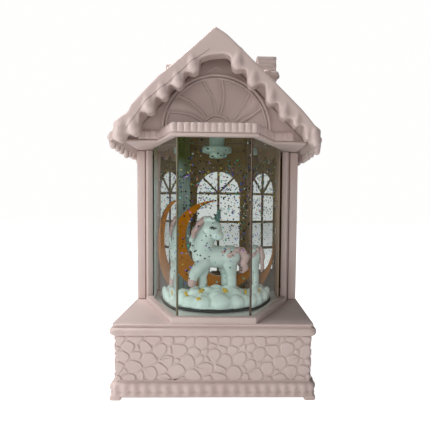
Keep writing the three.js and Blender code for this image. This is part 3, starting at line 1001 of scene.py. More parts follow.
class LANTERN_OT_deck(bpy.types.Operator):
    """Models the deck with its rolled lip and the kerb round the tank"""

    bl_idname = "lantern.deck"
    bl_label = "Deck"

    def execute(self, context):
        path = walk(rectangle(76.4, 67.9), 6, 1.5, closed=True)
        profile = [(-7, 48.3, 0), (-3.8, 48.3, 1), *half_turn(0, 48.6, 54.4, 2.4, 0.4)]
        profile += [(-2.7, 54.9, 0), (-2.85, 55.4, 0), (-2.3, 55.8, 0), (-1.9, 56.2, 0), (-2, 56.9, 0)]
        profile += [(-2.8, 57.28, 0), (-5, 57.25, 0), (-7, 56, 0)]

        def ripple(distance, z):
            return 0.25 * math.sin(distance / 3.1) + 0.2 * math.sin(distance / 1.7 + 2)

        roll = add_roll("deck_roll", path, profile, ripple)
        smooth(roll)
        top_plate = self.add_drilled_plate((-73.3, -64.8, 55.6), (73.3, 64.8, 57.3))
        core = self.add_drilled_plate((-72, -63, 49), (72, 63, 55.7))
        outer = hexagon(6.5)
        inner = hexagon(0.5)
        end = 4.9
        outline = [
            (-bay_side(6.5, -end), end), (-outer[1][0], 0), outer[5], outer[0], (outer[1][0], 0),
            (bay_side(6.5, -end), end), (bay_side(0.5, -end), end), (inner[1][0], 0), inner[0], inner[5],
            (-inner[1][0], 0), (-bay_side(0.5, -end), end),
        ]
        kerb = add_prism("kerb", [(x, y, 57) for x, y in outline], (0, 0, 4.9))
        soften(kerb, 0.5)
        gate = add_bead("gate_mark", [(0, -65.05, 57.4), (0, -65.05, 61.7), (0, -59.5, 61.95)], 0.16)
        deck = join("deck_with_kerb", [roll, top_plate, core, kerb, gate])
        dress(deck, "root", "pink_shell", FINISHES["house"], "deck")
        return {"FINISHED"}

    def add_drilled_plate(self, low, high):
        """A plate with the round opening for the tank's plug."""
        plate = add_block(low, high)
        deselect_all()
        bpy.ops.mesh.primitive_cylinder_add(vertices=96, radius=41 * MM, depth=0.03, location=(0, 0, 0.053))
        cut(plate, bpy.context.active_object)
        return plate


# ---- house ----
class LANTERN_OT_walls(bpy.types.Operator):
    """Rounds the edges of the wall panels, jambs, rear wall and soffit board"""

    bl_idname = "lantern.walls"
    bl_label = "Walls"

    def execute(self, context):
        for node, name in (
            ("side_wall_left", "wall_left"),
            ("side_wall_right", "wall_right"),
            ("bay_jamb_left", "jamb_left"),
            ("bay_jamb_right", "jamb_right"),
            ("soffit_board", "soffit"),
        ):
            panel = copy_of_node(node, name)
            soften(panel, sizes().edge_round)
            dress(panel, "root", "pink_shell", FINISHES["panel"], node)
        rear = copy_of_node("rear_wall", "window_wall")
        soften(rear, 0.35, 2, 35)
        dress(rear, "root", "pink_shell", FINISHES["panel"], "rear_wall")
        # Painted shade: the faces in front of the window wall's back get the dark bay shade colour.
        rear.data.materials.append(FINISHES["bay_shade"])
        bay_shade_back = 62.8 * MM
        for face in rear.data.polygons:
            if face.center.y < bay_shade_back:
                face.material_index = 1
        return {"FINISHED"}


# The flute's section as (distance out, height, share of the swell).
FLUTE_SECTION = (
    (-4.4, 196.3, 0), (-1.4, 196.3, 0.3), (-0.8, 196.7, 0.8), (-0.5, 197.6, 1), (-0.4, 199.2, 1),
    (-0.4, 200.9, 1), (-0.6, 202.2, 1), (-1.1, 203.1, 0.9), (-2.1, 203.8, 0.7), (-3.3, 204.0, 0.5),
    (-4.4, 203.7, 0.2), (-4.6, 202.8, 0),
)


class LANTERN_OT_cornice(bpy.types.Operator):
    """Models the fluted cornice over the bay"""

    bl_idname = "lantern.cornice"
    bl_label = "Cornice"

    def execute(self, context):
        lip = 6.8
        shoulder_y = -33.5
        shoulder_x = bay_side(lip, shoulder_y)
        front_x, front_y = hexagon(lip)[0]
        corners = [
            (-62, shoulder_y), (-shoulder_x, shoulder_y), (-front_x, front_y),
            (front_x, front_y), (shoulder_x, shoulder_y), (62, shoulder_y),
        ]
        pitch = sizes().flute_pitch
        path = walk(corners, 2.0, 0.45, closed=False)
        middle = path[-1][2] / 2
        rows = []
        for spot, normal, distance in path:
            phase = abs(math.sin(math.pi * ((distance - middle) / pitch + 0.5)))
            swell = 0.85 * phase**0.6
            row = []
            for out, z, share in FLUTE_SECTION:
                reach = out + share * (swell - 0.55)
                row.append((spot.x + normal.x * reach, spot.y + normal.y * reach, z))
            rows.append(row)
        band = add_sheet_of("cornice_band", rows, closed_rows=True)
        smooth(band, 60)
        back_y = GABLE_FACE - 0.4
        back_x = bay_side(3, back_y)
        cover_x, cover_y = hexagon(3)[0]
        cover = [(-cover_x, cover_y), (cover_x, cover_y), (back_x, back_y), (-back_x, back_y)]
        lid = add_prism("bay_lid", [(x, y, 201.5) for x, y in cover], (0, 0, 1.6))
        cornice = join("fluted_cornice", [band, lid])
        dress(cornice, "root", "pink_shell", FINISHES["snow"], "cornice", "bay_cap")
        return {"FINISHED"}


# The fan's ribs, from the rim in to the hub, as (x, height) from the middle of the fan.
FAN_RIBS = {
    "top_left": ((-11.5, 39.3), (-7.4, 32.5), (-3.8, 26), (-1.4, 18.8), (-0.2, 11.6)),
    "top_right": ((3.9, 40.5), (5.4, 33.1), (5.8, 26), (4.9, 18.8), (2.7, 11.3)),
    "left_upper": ((-31.2, 26.6), (-23.5, 23.6), (-17.5, 19.4), (-12.1, 14.6), (-8, 9.2)),
    "left_lower": ((-39, 13.5), (-31.8, 13.5), (-24.6, 12.3), (-18.7, 10.5), (-10.6, 6)),
    "right_upper": ((27, 30.6), (23.6, 23.6), (20, 17.6), (16.4, 12.3), (10.6, 5)),
    "right_lower": ((36.5, 18.2), (31.3, 14), (26.5, 10.5), (20, 6.7), (12, 3)),
}
FAN_PETALS = (("top_left", "top_right"), ("left_upper", "left_lower"), ("right_upper", "right_lower"))


def on_gable(x, height, proud):
    """A point on the gable's face, from the middle of the fan."""
    return (x, GABLE_FACE - proud, FAN_CENTRE + height)


def fan_arc(radius, proud, low=-1.2):
    """Points along a half circle about the middle of the fan."""
    start = math.asin(low / radius)
    count = 48
    turns = [start + (math.pi - 2 * start) * i / count for i in range(count + 1)]
    return [on_gable(radius * math.cos(a), radius * math.sin(a), proud) for a in turns]


def add_hub():
    """The domed half disc in the middle of the fan."""
    hub = add_ball(on_gable(0, 0, 0), (10.6, 1.9, 10.6), 32, 16)
    return smooth(keep_above(hub, FAN_CENTRE - 0.8), 50)


class LANTERN_OT_gable(bpy.types.Operator):
    """Models the gable with its fan arch in relief"""

    bl_idname = "lantern.gable"
    bl_label = "Gable"

    def execute(self, context):
        panel = copy_of_node("front_gable", "gable_panel")
        soften(panel, 0.4)
        parts = [
            panel,
            add_bead("rim_outer", fan_arc(43.0, 0.9), 1.35),
            add_bead("rim_inner", fan_arc(40.3, 0.7), 1.1),
            add_bead("hub_rim", fan_arc(11.2, 1.1), 1.05),
            add_hub(),
            add_bead("chevron_low", [on_gable(-8, 45, 0), on_gable(0, 50.5, 0), on_gable(8, 45, 0)], 0.4),
            add_bead("chevron_high", [on_gable(-4, 46.4, 0), on_gable(0, 49, 0), on_gable(4, 46.4, 0)], 0.3),
        ]
        runs = {}
        for name, points in FAN_RIBS.items():
            run = smooth_run([on_gable(x, height, 0.7) for x, height in points], 6)
            runs[name] = run
            parts.append(add_bead(f"rib_{name}", run, 1.1 if name != "right_lower" else 1.4))
        for one, other in FAN_PETALS:
            rows = []
            for a, b in zip(runs[one], runs[other]):
                row = []
                for i in range(9):
                    spot = a.lerp(b, i / 8)
                    spot.y -= 3.0 * math.sin(math.pi * i / 8) - 0.7
                    row.append(tuple(spot))
                row += [(a.lerp(b, i / 8).x, GABLE_FACE + 0.5, a.lerp(b, i / 8).z) for i in range(8, -1, -1)]
                rows.append(row)
            petal = add_sheet_of("petal", rows, closed_rows=True)
            smooth(petal, 40)
            parts.append(petal)
        gable = join("fan_gable", parts)
        dress(gable, "root", "pink_shell", FINISHES["house"], "front_gable")
        return {"FINISHED"}


# ---- roof ----
# The icing's top line from the peak down each slope, as (distance across, height).
ICING_LEFT = (
    (0, 271.6), (6.8, 265.5), (12.7, 260.2), (21.6, 252.4), (28.9, 246), (40, 237), (47.4, 229.4),
    (54.7, 221.6), (59.9, 215.7), (62.5, 210.5), (67, 207.6), (71.4, 203.4), (73.4, 197), (73.6, 191),
)
ICING_RIGHT = (
    (0, 271.6), (7.9, 266.6), (15.3, 260), (26.4, 249.4), (37.4, 239), (46.3, 230.4), (55.8, 221.4),
    (63.2, 214.2), (70.6, 205.6), (75, 199.4), (77.4, 192), (77.2, 188.5),
)
# The lobes of icing down each slope: inner edge, outer edge, lowest point and the notch outside it.
LOBES_LEFT = (
    (11.1, 21.3, 238.3, 239.6), (22.4, 31.6, 227.6, 230.4), (33.4, 42.6, 219.5, 222),
    (42.9, 53.5, 209.3, 211.6), (54, 64.2, 194, 196.4), (64.9, 73.4, 189, 191),
)
LOBES_RIGHT = (
    (11.2, 21.2, 241, 242.2), (22.8, 32.1, 229, 232.4), (36.6, 44.8, 217.2, 218.6), (46.4, 54.6, 206.6, 208),
    (56.3, 62.4, 201.2, 203), (65, 70, 191.6, 193.8), (70.8, 77.2, 186.8, 188.6),
)


def lobe_line(lobes, start):
    """The underside of the icing down one slope, as steps with rounded lobes."""
    line = []
    above = start
    for inner, outer, low, notch in lobes:
        middle = inner + 0.42 * (outer - inner)
        line += [(inner - 0.3, above - 0.6), (inner + 0.1, (above + low) / 2 + 1), (inner + 0.8, low + 2)]
        line += [(middle, low), (outer - 1.6, (low + notch) / 2 + 0.4), (outer, notch)]
        above = notch
    return line


def add_icing_band(front, back, flip):
    """The chevron of icing over both slopes, down to the rounded lobes along its underside."""
    top_left = [(-flip * x, front, z) for x, z in ICING_LEFT]
    top_right = [(flip * x, front, z) for x, z in ICING_RIGHT]
    under_left = [(-flip * x, front, z) for x, z in lobe_line(LOBES_LEFT, 249.4)]
    under_right = [(flip * x, front, z) for x, z in lobe_line(LOBES_RIGHT, 251.6)]
    centre = [(flip * 6, front, 252.6), (flip * 1, front, 252), (-flip * 4, front, 251.4)]
    outline = top_left[::-1] + top_right[1:] + under_right[::-1] + centre + under_left
    return add_prism("icing_band", outline, (0, back - front, 0))


def add_end_icing(name, front, back, lumps, flip=1):
    """Snowy icing along both slopes of one end of the roof, with a ridge down each lobe."""
    depth = abs(back - front)
    middle = (front + back) / 2
    ahead = math.copysign(1, front - back)
    parts = [add_icing_band(front - 2.2 * ahead, back, flip)]
    for side, lobes in ((-flip, LOBES_LEFT), (flip, LOBES_RIGHT)):
        for inner, outer, low, _ in lobes:
            radius = 0.47 * (outer - inner)
            x = side * (inner + 0.44 * (outer - inner))
            y = front - (0.9 + radius * 0.72) * ahead
            foot = (x, y, low + radius * 1.05)
            head = (x + side * 1.5, y - 1.6 * ahead, low + radius + 9)
            parts += add_limb([(head, radius * 0.8), (foot, radius * 0.98)], 16)
    for centre, radii in lumps:
        parts.append(add_ball((flip * centre[0], middle, centre[1]), (radii[0], depth / 2, radii[1])))
    icing = join(name, parts)
    return melt(icing, sizes().icing_grain, 6)


class LANTERN_OT_roof(bpy.types.Operator):
    """Models the snow-covered roof and the icing along its ends and eaves"""

    bl_idname = "lantern.roof"
    bl_label = "Roof and icing"

    def execute(self, context):
        self.cover_roof()
        lumps = [((-68, 197.6), (5.6, 8.4)), ((72.5, 196), (4.6, 7.6))]
        front = add_end_icing("icing_front", -65.2, -51.6, lumps)
        seam = self.trace_seam(front)
        dress(front, "root", "pink_shell", FINISHES["snow"], "front_icing")
        dress(seam, "root", "pink_shell", FINISHES["seam"])
        back = add_end_icing("icing_back", 70.2, 62.9, lumps, flip=-1)
        dress(back, "root", "pink_shell", FINISHES["snow"], "rear_icing")
        for name, side in (("left", -1), ("right", 1)):
            eave = self.hang_eave(side)
            eave.name = f"icing_eave_{name}"
            dress(eave, "root", "pink_shell", FINISHES["snow"], f"eave_icing_{name}")
        return {"FINISHED"}

    def cover_roof(self):
        """A soft blanket of snow over both slopes, on a plain underside."""
        steps = 60
        front_y = -52.4
        length = 115.6
        rows = []
        for j in range(59):
            y = front_y + length * j / 58
            over = []
            under = []
            for i in range(-steps, steps + 1):
                run = abs(i) / steps
                x = 78 * i / steps
                ridge = 272.6 - math.hypot(x, 3.2) + 3.2 * 0.4
                soft = noise.noise(Vector((x / 14, y / 16, 3.1)))
                soft += 0.2 * noise.noise(Vector((x / 6, y / 7, 9)))
                rise = 1.1 + 1.3 * soft * min(1, (1 - run) * 8)
                over.append((x + math.copysign(rise * 0.7, x) * min(1, run * 10), y, ridge + rise * 0.7))
                under.append((x, y, 272 - 3.1 - abs(x)))
            rows.append(over + under[::-1])
        roof = add_sheet_of("snowy_roof", rows, closed_rows=True)
        smooth(roof, 40)
        dress(roof, "root", "pink_shell", FINISHES["snow"], "roof")

    def trace_seam(self, icing):
        """A fine parting line on the left slope, laid on the icing's front."""
        tree = BVHTree.FromObject(icing, bpy.context.evaluated_depsgraph_get())
        line = [(-3.7, 255.4), (-17.9, 245.4), (-32.1, 232.6), (-46.3, 221.1), (-53.5, 212.6), (-63.5, 198.3)]
        points = []
        for spot in smooth_run([(x, 0, z) for x, z in line], 10):
            hit = tree.ray_cast(metres((spot.x, -200, spot.z)), Vector((0, 1, 0)))[0]
            if hit is not None and hit.y < -0.055:
                points.append((spot.x, hit.y / MM - 0.02, spot.z))
        return add_bead("parting_line", points, 0.17)

    def hang_eave(self, side):
        """A rounded rail of icing along one eave, with drips of uneven length."""
        chance = random.Random(5 + side)
        x = side * 80
        parts = add_limb([((x - side * 1.4, -49, 194.5), 2.6), ((x, -34, 194.5), 3.4), ((x, 62, 194.5), 3.4)])
        parts += add_limb([((x - side * 2.8, -49, 197.4), 2.4), ((x - side * 2.4, 62, 198), 2.6)])
        for i in range(9):
            y = -38 + i * 12 + chance.uniform(-1.5, 1.5)
            end = 190 - chance.uniform(0, 3.4)
            parts += add_limb([((x, y, 194), 3.3), ((x, y, end), 2.5)], 12)
        eave = join("eave", parts)
        return melt(eave, sizes().icing_grain, 3)


class LANTERN_OT_chimneys(bpy.types.Operator):
    """Models the brick chimneys with their collars of snow"""

    bl_idname = "lantern.chimneys"
    bl_label = "Chimneys"

    def execute(self, context):
        for name in ("right", "left"):
            low, high = (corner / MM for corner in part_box(f"chimney_{name}"))
            stack = copy_of_node(f"chimney_{name}", f"stack_{name}")
            soften(stack, 0.4)
            bricks = self.lay_bricks(low, high)
            chimney = join(f"brick_chimney_{name}", [stack, bricks])
            dress(chimney, "root", "pink_shell", FINISHES["house"], f"chimney_{name}")
            snow = self.pile_snow(low, high)
            snow.name = f"snow_collar_{name}"
            dress(snow, "root", "pink_shell", FINISHES["snow"], f"chimney_snow_{name}")
        return {"FINISHED"}

    def lay_bricks(self, low, high):
        """One rounded brick, copied in staggered courses round the stack."""
        course = sizes().course
        brick = add_block((-2.55, -0.35, 0.2), (2.55, 0.3, course - 0.15))
        soften(brick, 0.16, 1)
        template = brick.data
        centre = (low + high) / 2
        copies = []
        rows = int((high.z - low.z) / course)
        for row in range(rows):
            z = high.z - course * (row + 1)
            stagger = 1.3 if row % 2 else -1.3
            for turn in range(4):
                for i in range(3):
                    shift = (i - 1) * 5.6 + stagger * (0.6 if i == 1 else 1)
                    shift = max(-5.8, min(5.8, shift))
                    half = 8.4 if turn % 2 else 8.5
                    angle = turn * math.pi / 2
                    spot = Matrix.Rotation(angle, 3, "Z") @ Vector((shift, -half - 0.05, 0))
                    x = centre.x + spot.x
                    if z < 272.5 - abs(x):
                        continue
                    place = Matrix.Translation(metres((x, centre.y + spot.y, z)))
                    copies.append(place @ Matrix.Rotation(angle, 4, "Z"))

        def fill(shape):
            for matrix in copies:
                start = len(shape.verts)
                shape.from_mesh(template)
                shape.verts.ensure_lookup_table()
                bmesh.ops.transform(shape, matrix=matrix, verts=shape.verts[start:])

        wall = object_from("bricks", fill)
        bpy.data.objects.remove(brick)
        return wall

    def pile_snow(self, low, high):
        """A soft ring of snow round a chimney, sagging at the front corners."""
        corners = [(low.x, low.y), (high.x, low.y), (high.x, high.y), (low.x, high.y)]
        middle = high.z - 15
        parts = []
        for i, (start, end) in enumerate(zip(corners, corners[1:] + corners[:1])):
            drop = 0.7 if i % 2 else 0
            joints = [((*start, middle - drop), 2.7), ((*end, middle + drop - 0.5), 2.9)]
            parts += add_limb(joints)
            centre = ((start[0] + end[0]) / 2, (start[1] + end[1]) / 2, middle + 0.4)
            parts.append(add_ball(centre, (4.6, 4.6, 2.9)))
        ring = join("snow", parts)
        return melt(ring, 0.8, 3)


# ---- tank ----
class LANTERN_OT_tank(bpy.types.Operator):
    """Models the tank with its water, its seams and the frosted stopper"""

    bl_idname = "lantern.tank"
    bl_label = "Tank"

    def execute(self, context):
        low, high = TANK_HEIGHT
        body = add_prism("tank_and_water", [(x, y, low) for x, y in hexagon(0)], (0, 0, high - low))
        apply_modifier(body, "BEVEL", width=0.00025, segments=1, limit_method="ANGLE", angle_limit=0.6)
        dress(body, "root", "clear_tank", FINISHES["water"], "tank_shell")
        edges = hexagon(0.1)
        # The front left seam takes the painted light copy, and the front right seam takes the painted shade
        # copy.
        for index, name, finish in (
            (5, "seam_front_left", "edge_left"), (0, "seam_front_right", "seam_painted_shade"),
        ):
            x, y = edges[index]
            seam = add_bead(name, [(x, y, low + 0.3), (x, y, high - 8)], 0.85, 12)
            dress(seam, "root", "clear_tank", FINISHES[finish])
        for name, side in (("left", -1), ("right", 1)):
            corners = [*hexagon(-0.4)[2:0:-1], *hexagon(-1.0)[1:3]]
            outline = [(side * x, y, low + 3) for x, y in corners]
            pane = add_prism(f"side_pane_{name}", outline, (0, 0, high - low - 3.4))
            soften(pane, 0.12, 1)
            dress(pane, "root", "clear_tank", FINISHES[f"pane_{name}"])
        bottom = add_prism("tank_floor", [(x, y, low + 0.15) for x, y in hexagon(-0.8)], (0, 0, 0.7))
        soften(bottom, 0.1, 1)
        dress(bottom, "root", "white_plastic", FINISHES["white"])
        deselect_all()
        bpy.ops.mesh.primitive_torus_add(
            location=(0, 0, 0.0602),
            major_radius=0.0358,
            minor_radius=0.0012,
            major_segments=96,
            minor_segments=14,
        )
        seal = bpy.context.active_object
        seal.name = "seal_ring"
        smooth(settle(seal))
        dress(seal, "root", "black_rubber", FINISHES["rubber"], "plug_seal")
        stopper = copy_of_node("fill_stopper", "stopper")
        soften(stopper, 0.9, 3, 40)
        lobes = [stopper]
        for i in range(4):
            angle = (i + 0.5) * math.pi / 2
            lobes.append(add_ball((11.2 * math.cos(angle), 11.2 * math.sin(angle), 190.8), (2.6, 2.6, 2.5)))
        stopper = join("frosted_stopper", lobes)
        smooth(stopper, 40)
        dress(stopper, "root", "frosted_stopper", FINISHES["frost"], "fill_stopper")
        return {"FINISHED"}


def flat_star(name, centre, radius, thickness, tilt):
    """A five-pointed star with rounded points."""
    outline = []
    for i in range(10):
        reach = radius if i % 2 == 0 else radius * 0.5
        angle = math.pi / 2 + i * math.pi / 5
        outline.append((reach * math.cos(angle), -thickness / 2, reach * math.sin(angle)))
    star = add_prism(name, outline, (0, thickness, 0))
    soften(star, 0.3, 2)
    star.rotation_euler = tilt
    star.location = metres(centre)
    return settle(star)


# Barrel, chest, rump, head, muzzle and nose as ((x, y from the figure's middle, z), half sizes).
BODY_BALLS = (
    ((0.5, 0, 100.3), (17.5, 9.3, 9.6)),
    ((-10.5, -1, 102.2), (10.6, 9.6, 11)),
    ((11, 0, 100.8), (10.3, 9.4, 10)),
    ((-3.6, -5, 124.6), (8.3, 8, 8.4)),
    ((1.4, -8.4, 119.4), (5.0, 5.2, 4.6)),
    ((3.0, -10.4, 118), (3.3, 3.2, 2.9)),
)
# Limbs and locks as runs of (x, y from the figure's middle, z, radius).
NECK = ((-11.5, -1, 104, 9.5), (-10, -2, 113, 8.2), (-7, -3, 120, 7.4))
LEGS = (
    ((-10, -5, 96, 6.4), (-14.6, -7.4, 91, 5.6), (-18.4, -8, 86.5, 4.6)),
    ((-18.4, -8, 86.5, 4.6), (-19.8, -8, 80.5, 3.7)),
    ((-9.5, -3, 94, 5.2), (-11.4, -3, 84, 3.7), (-11.5, -3, 75.6, 4.1)),
    ((11.5, -1.6, 95, 7), (13.2, -1, 85, 4.3), (13.5, -1, 75.6, 4.3)),
    ((6.5, 5.6, 95, 6), (7.6, 6.5, 85, 4), (8, 6.5, 75.6, 4.1)),
)
EARS = (
    ((-8, -4.2, 130.6, 2.4), (-9.6, -4.2, 135, 1.0)),
    ((-0.6, -2.2, 130.6, 2.4), (0, -2.2, 135, 1.0)),
)
PINK_LOCKS = (
    ((-6, 0, 133, 2.6), (-11, 1, 132, 3.0), (-15, 0, 128.5, 2.8), (-16.5, -1, 124.5, 2.0)),
    ((-9, 3, 131, 3.0), (-15.5, 2, 126, 3.2), (-19, 0, 121.5, 2.8), (-19.6, -2, 117.5, 1.8)),
)
WHITE_LOCKS = (
    ((-12, 3, 126, 3.2), (-18.5, 2, 119, 3.2), (-21.4, 0, 114.6, 2.4), (-19.5, -2, 111, 1.6)),
    ((-2, -10.6, 131.6, 1.7), (-5, -9.6, 133, 2.2), (-8.6, -6, 132.6, 2.4)),
    ((-15, 0, 112, 3.6), (-20.4, -2, 107.5, 2.6), (-18.5, -4.5, 104.4, 1.5)),
)
# Locks of the tail as (x, share of the lock's sideways shift, z, radius), from the rump down.
TAIL_LOCK = (
    (21.6, 1, 105.4, 3.6), (25, 1.2, 100.4, 3.5), (23, 1, 95.4, 3.3), (25, 1, 90.8, 2.6),
    (22.6, 0.6, 87.6, 1.6),
)


class LANTERN_OT_unicorn(bpy.types.Operator):
    """Models the unicorn with its mane, tail, horn, flowers and lash"""

    bl_idname = "lantern.unicorn"
    bl_label = "Unicorn"

    def execute(self, context):
        y = FIGURE_Y
        parts = [add_ball((x, y + back, z), radii) for (x, back, z), radii in BODY_BALLS]
        for limb in (NECK, *LEGS):
            parts += add_limb([((x, y + back, z), radius) for x, back, z, radius in limb])
        for ear in EARS:
            parts += add_limb([((x, y + back, z), radius) for x, back, z, radius in ear], 12)
        body = melt(join("unicorn_body", parts), 0.75, 8)
        dress(body, "root", "figure_white", FINISHES["resin"], "unicorn")
        self.add_mane(y)
        self.add_tail(y)
        self.add_horn(y)
        self.add_lash(y)
        self.add_hoof(y)
        self.add_flowers(y)
        return {"FINISHED"}

    def add_mane(self, y):
        """Thick pink locks behind the neck, and white ones below them and on the brow."""
        for name, locks, slot, finish, nodes in (
            ("mane", PINK_LOCKS, "figure_pink", "blush", ["unicorn_mane"]),
            ("mane_curls", WHITE_LOCKS, "figure_white", "resin", []),
        ):
            parts = []
            for lock in locks:
                parts += add_limb([((x, y + back, z), radius) for x, back, z, radius in lock], 14)
            hair = melt(join(name, parts), 0.6, 3)
            dress(hair, "root", slot, FINISHES[finish], *nodes)

    def add_tail(self, y):
        """Three locks of tail that fall behind the rump."""
        parts = []
        for shift, lean in ((-2.4, 0.4), (0, -0.8), (2.4, -2)):
            root = ((17.5, y + shift * 0.5, 106.4), 2.8)
            fall = [((x + lean, y + shift * share, z), radius) for x, share, z, radius in TAIL_LOCK]
            parts += add_limb([root, *fall], 14)
        tail = melt(join("tail", parts), 0.6, 2)
        dress(tail, "root", "figure_pink", FINISHES["blush"], "unicorn_tail")

    def add_horn(self, y):
        """A tapered horn with a spiral bead wound round it."""
        turns = []
        for i in range(61):
            share = i / 60
            angle = share * 5 * 2 * math.pi
            reach = 4.4 * (1 - share) + 1.2
            base = Vector((0.2 + 2.4 * share, y - 6, 132 + 8.8 * share))
            turns.append(base + Vector((reach * math.cos(angle), reach * math.sin(angle), 0)) * 0.45)
        spine = add_limb([((0.1, y - 6, 131), 2.7), ((2.6, y - 6, 140.6), 0.7)], 16)
        horn = join("horn", [*spine, add_bead("twist", turns, 0.75)])
        smooth(horn)
        dress(horn, "root", "figure_horn", FINISHES["horn"], "unicorn_horn")

    def add_lash(self, y):
        """The closed eye: a curved lid with three strokes of lash."""
        lash = []
        for i in range(9):
            angle = math.radians(205 + i * 13)
            lash.append((-1.4 + 2.9 * math.cos(angle), y - 13.1, 127.6 + 2.3 * math.sin(angle)))
        strokes = [add_bead("lid", lash, 0.6)]
        for i in (0, 2, 4):
            x, stroke_y, z = lash[i]
            tip = (x - 1.4 + 0.4 * i, stroke_y + 0.3, z - 1.6)
            strokes.append(add_bead("stroke", [lash[i], tip], 0.42))
        eye = join("closed_lash", strokes)
        dress(eye, "root", "black_plastic", FINISHES["lash"])

    def add_hoof(self, y):
        """The pink hoof of the raised leg."""
        parts = add_limb([((-19.9, y - 8, 80.4), 4.0), ((-20.1, y - 8, 78.6), 3.9)], 18)
        hoof = melt(join("raised_hoof", parts), 0.6, 2)
        dress(hoof, "root", "figure_pink", FINISHES["blush"])

    def add_flowers(self, y):
        """Five flowers of five petals along the back."""
        chance = random.Random(8)
        petals = []
        for cx, cz in ((6.6, 104.6), (10.6, 106.6), (14.4, 103.4), (17.6, 105.8), (11.4, 102.2)):
            cy = y - 9.0 + chance.uniform(-0.5, 0.5) + abs(cx - 11) * 0.12 + (cz - 102) * 0.5
            for i in range(5):
                angle = i * 2 * math.pi / 5 + chance.random()
                spot = (cx + 1.5 * math.cos(angle), cy, cz + 1.5 * math.sin(angle))
                petals.append(add_ball(spot, (1.15, 0.9, 1.15), 10, 8))
            petals.append(add_ball((cx, cy - 0.5, cz), (0.8, 0.8, 0.8), 10, 8))
        flowers = join("back_flowers", petals)
        smooth(flowers)
        dress(flowers, "root", "figure_pink", FINISHES["blush"])


# The cloud's rings of puffs as (how many, ring radius, puff radius, height).
PUFF_RINGS = ((13, 27.4, 7.2, 63.6), (9, 19, 7.6, 66.2), (5, 10, 7.4, 68.2), (1, 0, 7, 68))
# The gold stars on the cloud as (centre, radius).
STARS = (
    ((-11.4, -21, 74.5), 3.0),
    ((-13, -28.5, 68.6), 3.0),
    ((8, -20, 74.6), 3.0),
    ((-24, -20, 71.5), 2.6),
    ((25, -14, 72.5), 2.4),
)


class LANTERN_OT_cloud(bpy.types.Operator):
    """Models the cloud with its gold stars, and the crescent moon that stands in it"""

    bl_idname = "lantern.cloud"
    bl_label = "Cloud and moon"

    def execute(self, context):
        moon = copy_of_node("crescent_moon", "moon")
        soften(moon, 1.5, 4, 45)
        dress(moon, "root", "amber_clear", FINISHES["amber"], "crescent_moon")
        deselect_all()
        bpy.ops.mesh.primitive_cone_add(
            vertices=64, radius1=34.4 * MM, radius2=20 * MM, depth=8 * MM, location=(0, 0, 65 * MM)
        )
        parts = [bpy.context.active_object]
        chance = random.Random(21)
        for count, ring, radius, z in PUFF_RINGS:
            for i in range(count):
                angle = (i + chance.uniform(-0.2, 0.2)) / count * 2 * math.pi
                reach = ring + chance.uniform(-1.2, 0.8)
                size = radius * chance.uniform(0.82, 1.12)
                high = z + chance.uniform(-0.8, 1.2)
                centre = (reach * math.cos(angle), reach * math.sin(angle), high)
                parts.append(add_ball(centre, (size, size, size), 16, 10))
        for x in (-29, 29):
            parts.append(add_ball((x, 8, 67), (5.5, 5.5, 5)))
        cloud = join("puffy_cloud", parts)
        melt(cloud, 0.85, 7)
        floor = add_block((-60, -60, 40), (60, 60, 61))
        cut(cloud, floor)
        smooth(cloud)
        dress(cloud, "root", "figure_white", FINISHES["puff"], "cloud_base")
        stars = []
        for i, (centre, radius) in enumerate(STARS):
            tilt = Euler((0.7, 0.3 * i, 0.5 - 0.3 * i))
            stars.append(flat_star(f"star_{i}", centre, radius, 1.6, tilt))
        dress(join("gold_stars", stars), "root", "amber_clear", FINISHES["gold"])
        return {"FINISHED"}


FLAKE_COLOURS = (
    (26, (0.012, 0.014, 0.016)),
    (6, (0.9, 0.95, 0.93)),
    (3, (0.05, 0.5, 0.32)),
    (3, (0.05, 0.13, 0.75)),
    (2, (0.25, 0.08, 0.6)),
    (2, (0.75, 0.6, 0.08)),
    (1, (0.75, 0.2, 0.45)),
    (2, (0.2, 0.6, 0.65)),
    (1, (0.7, 0.3, 0.12)),
)


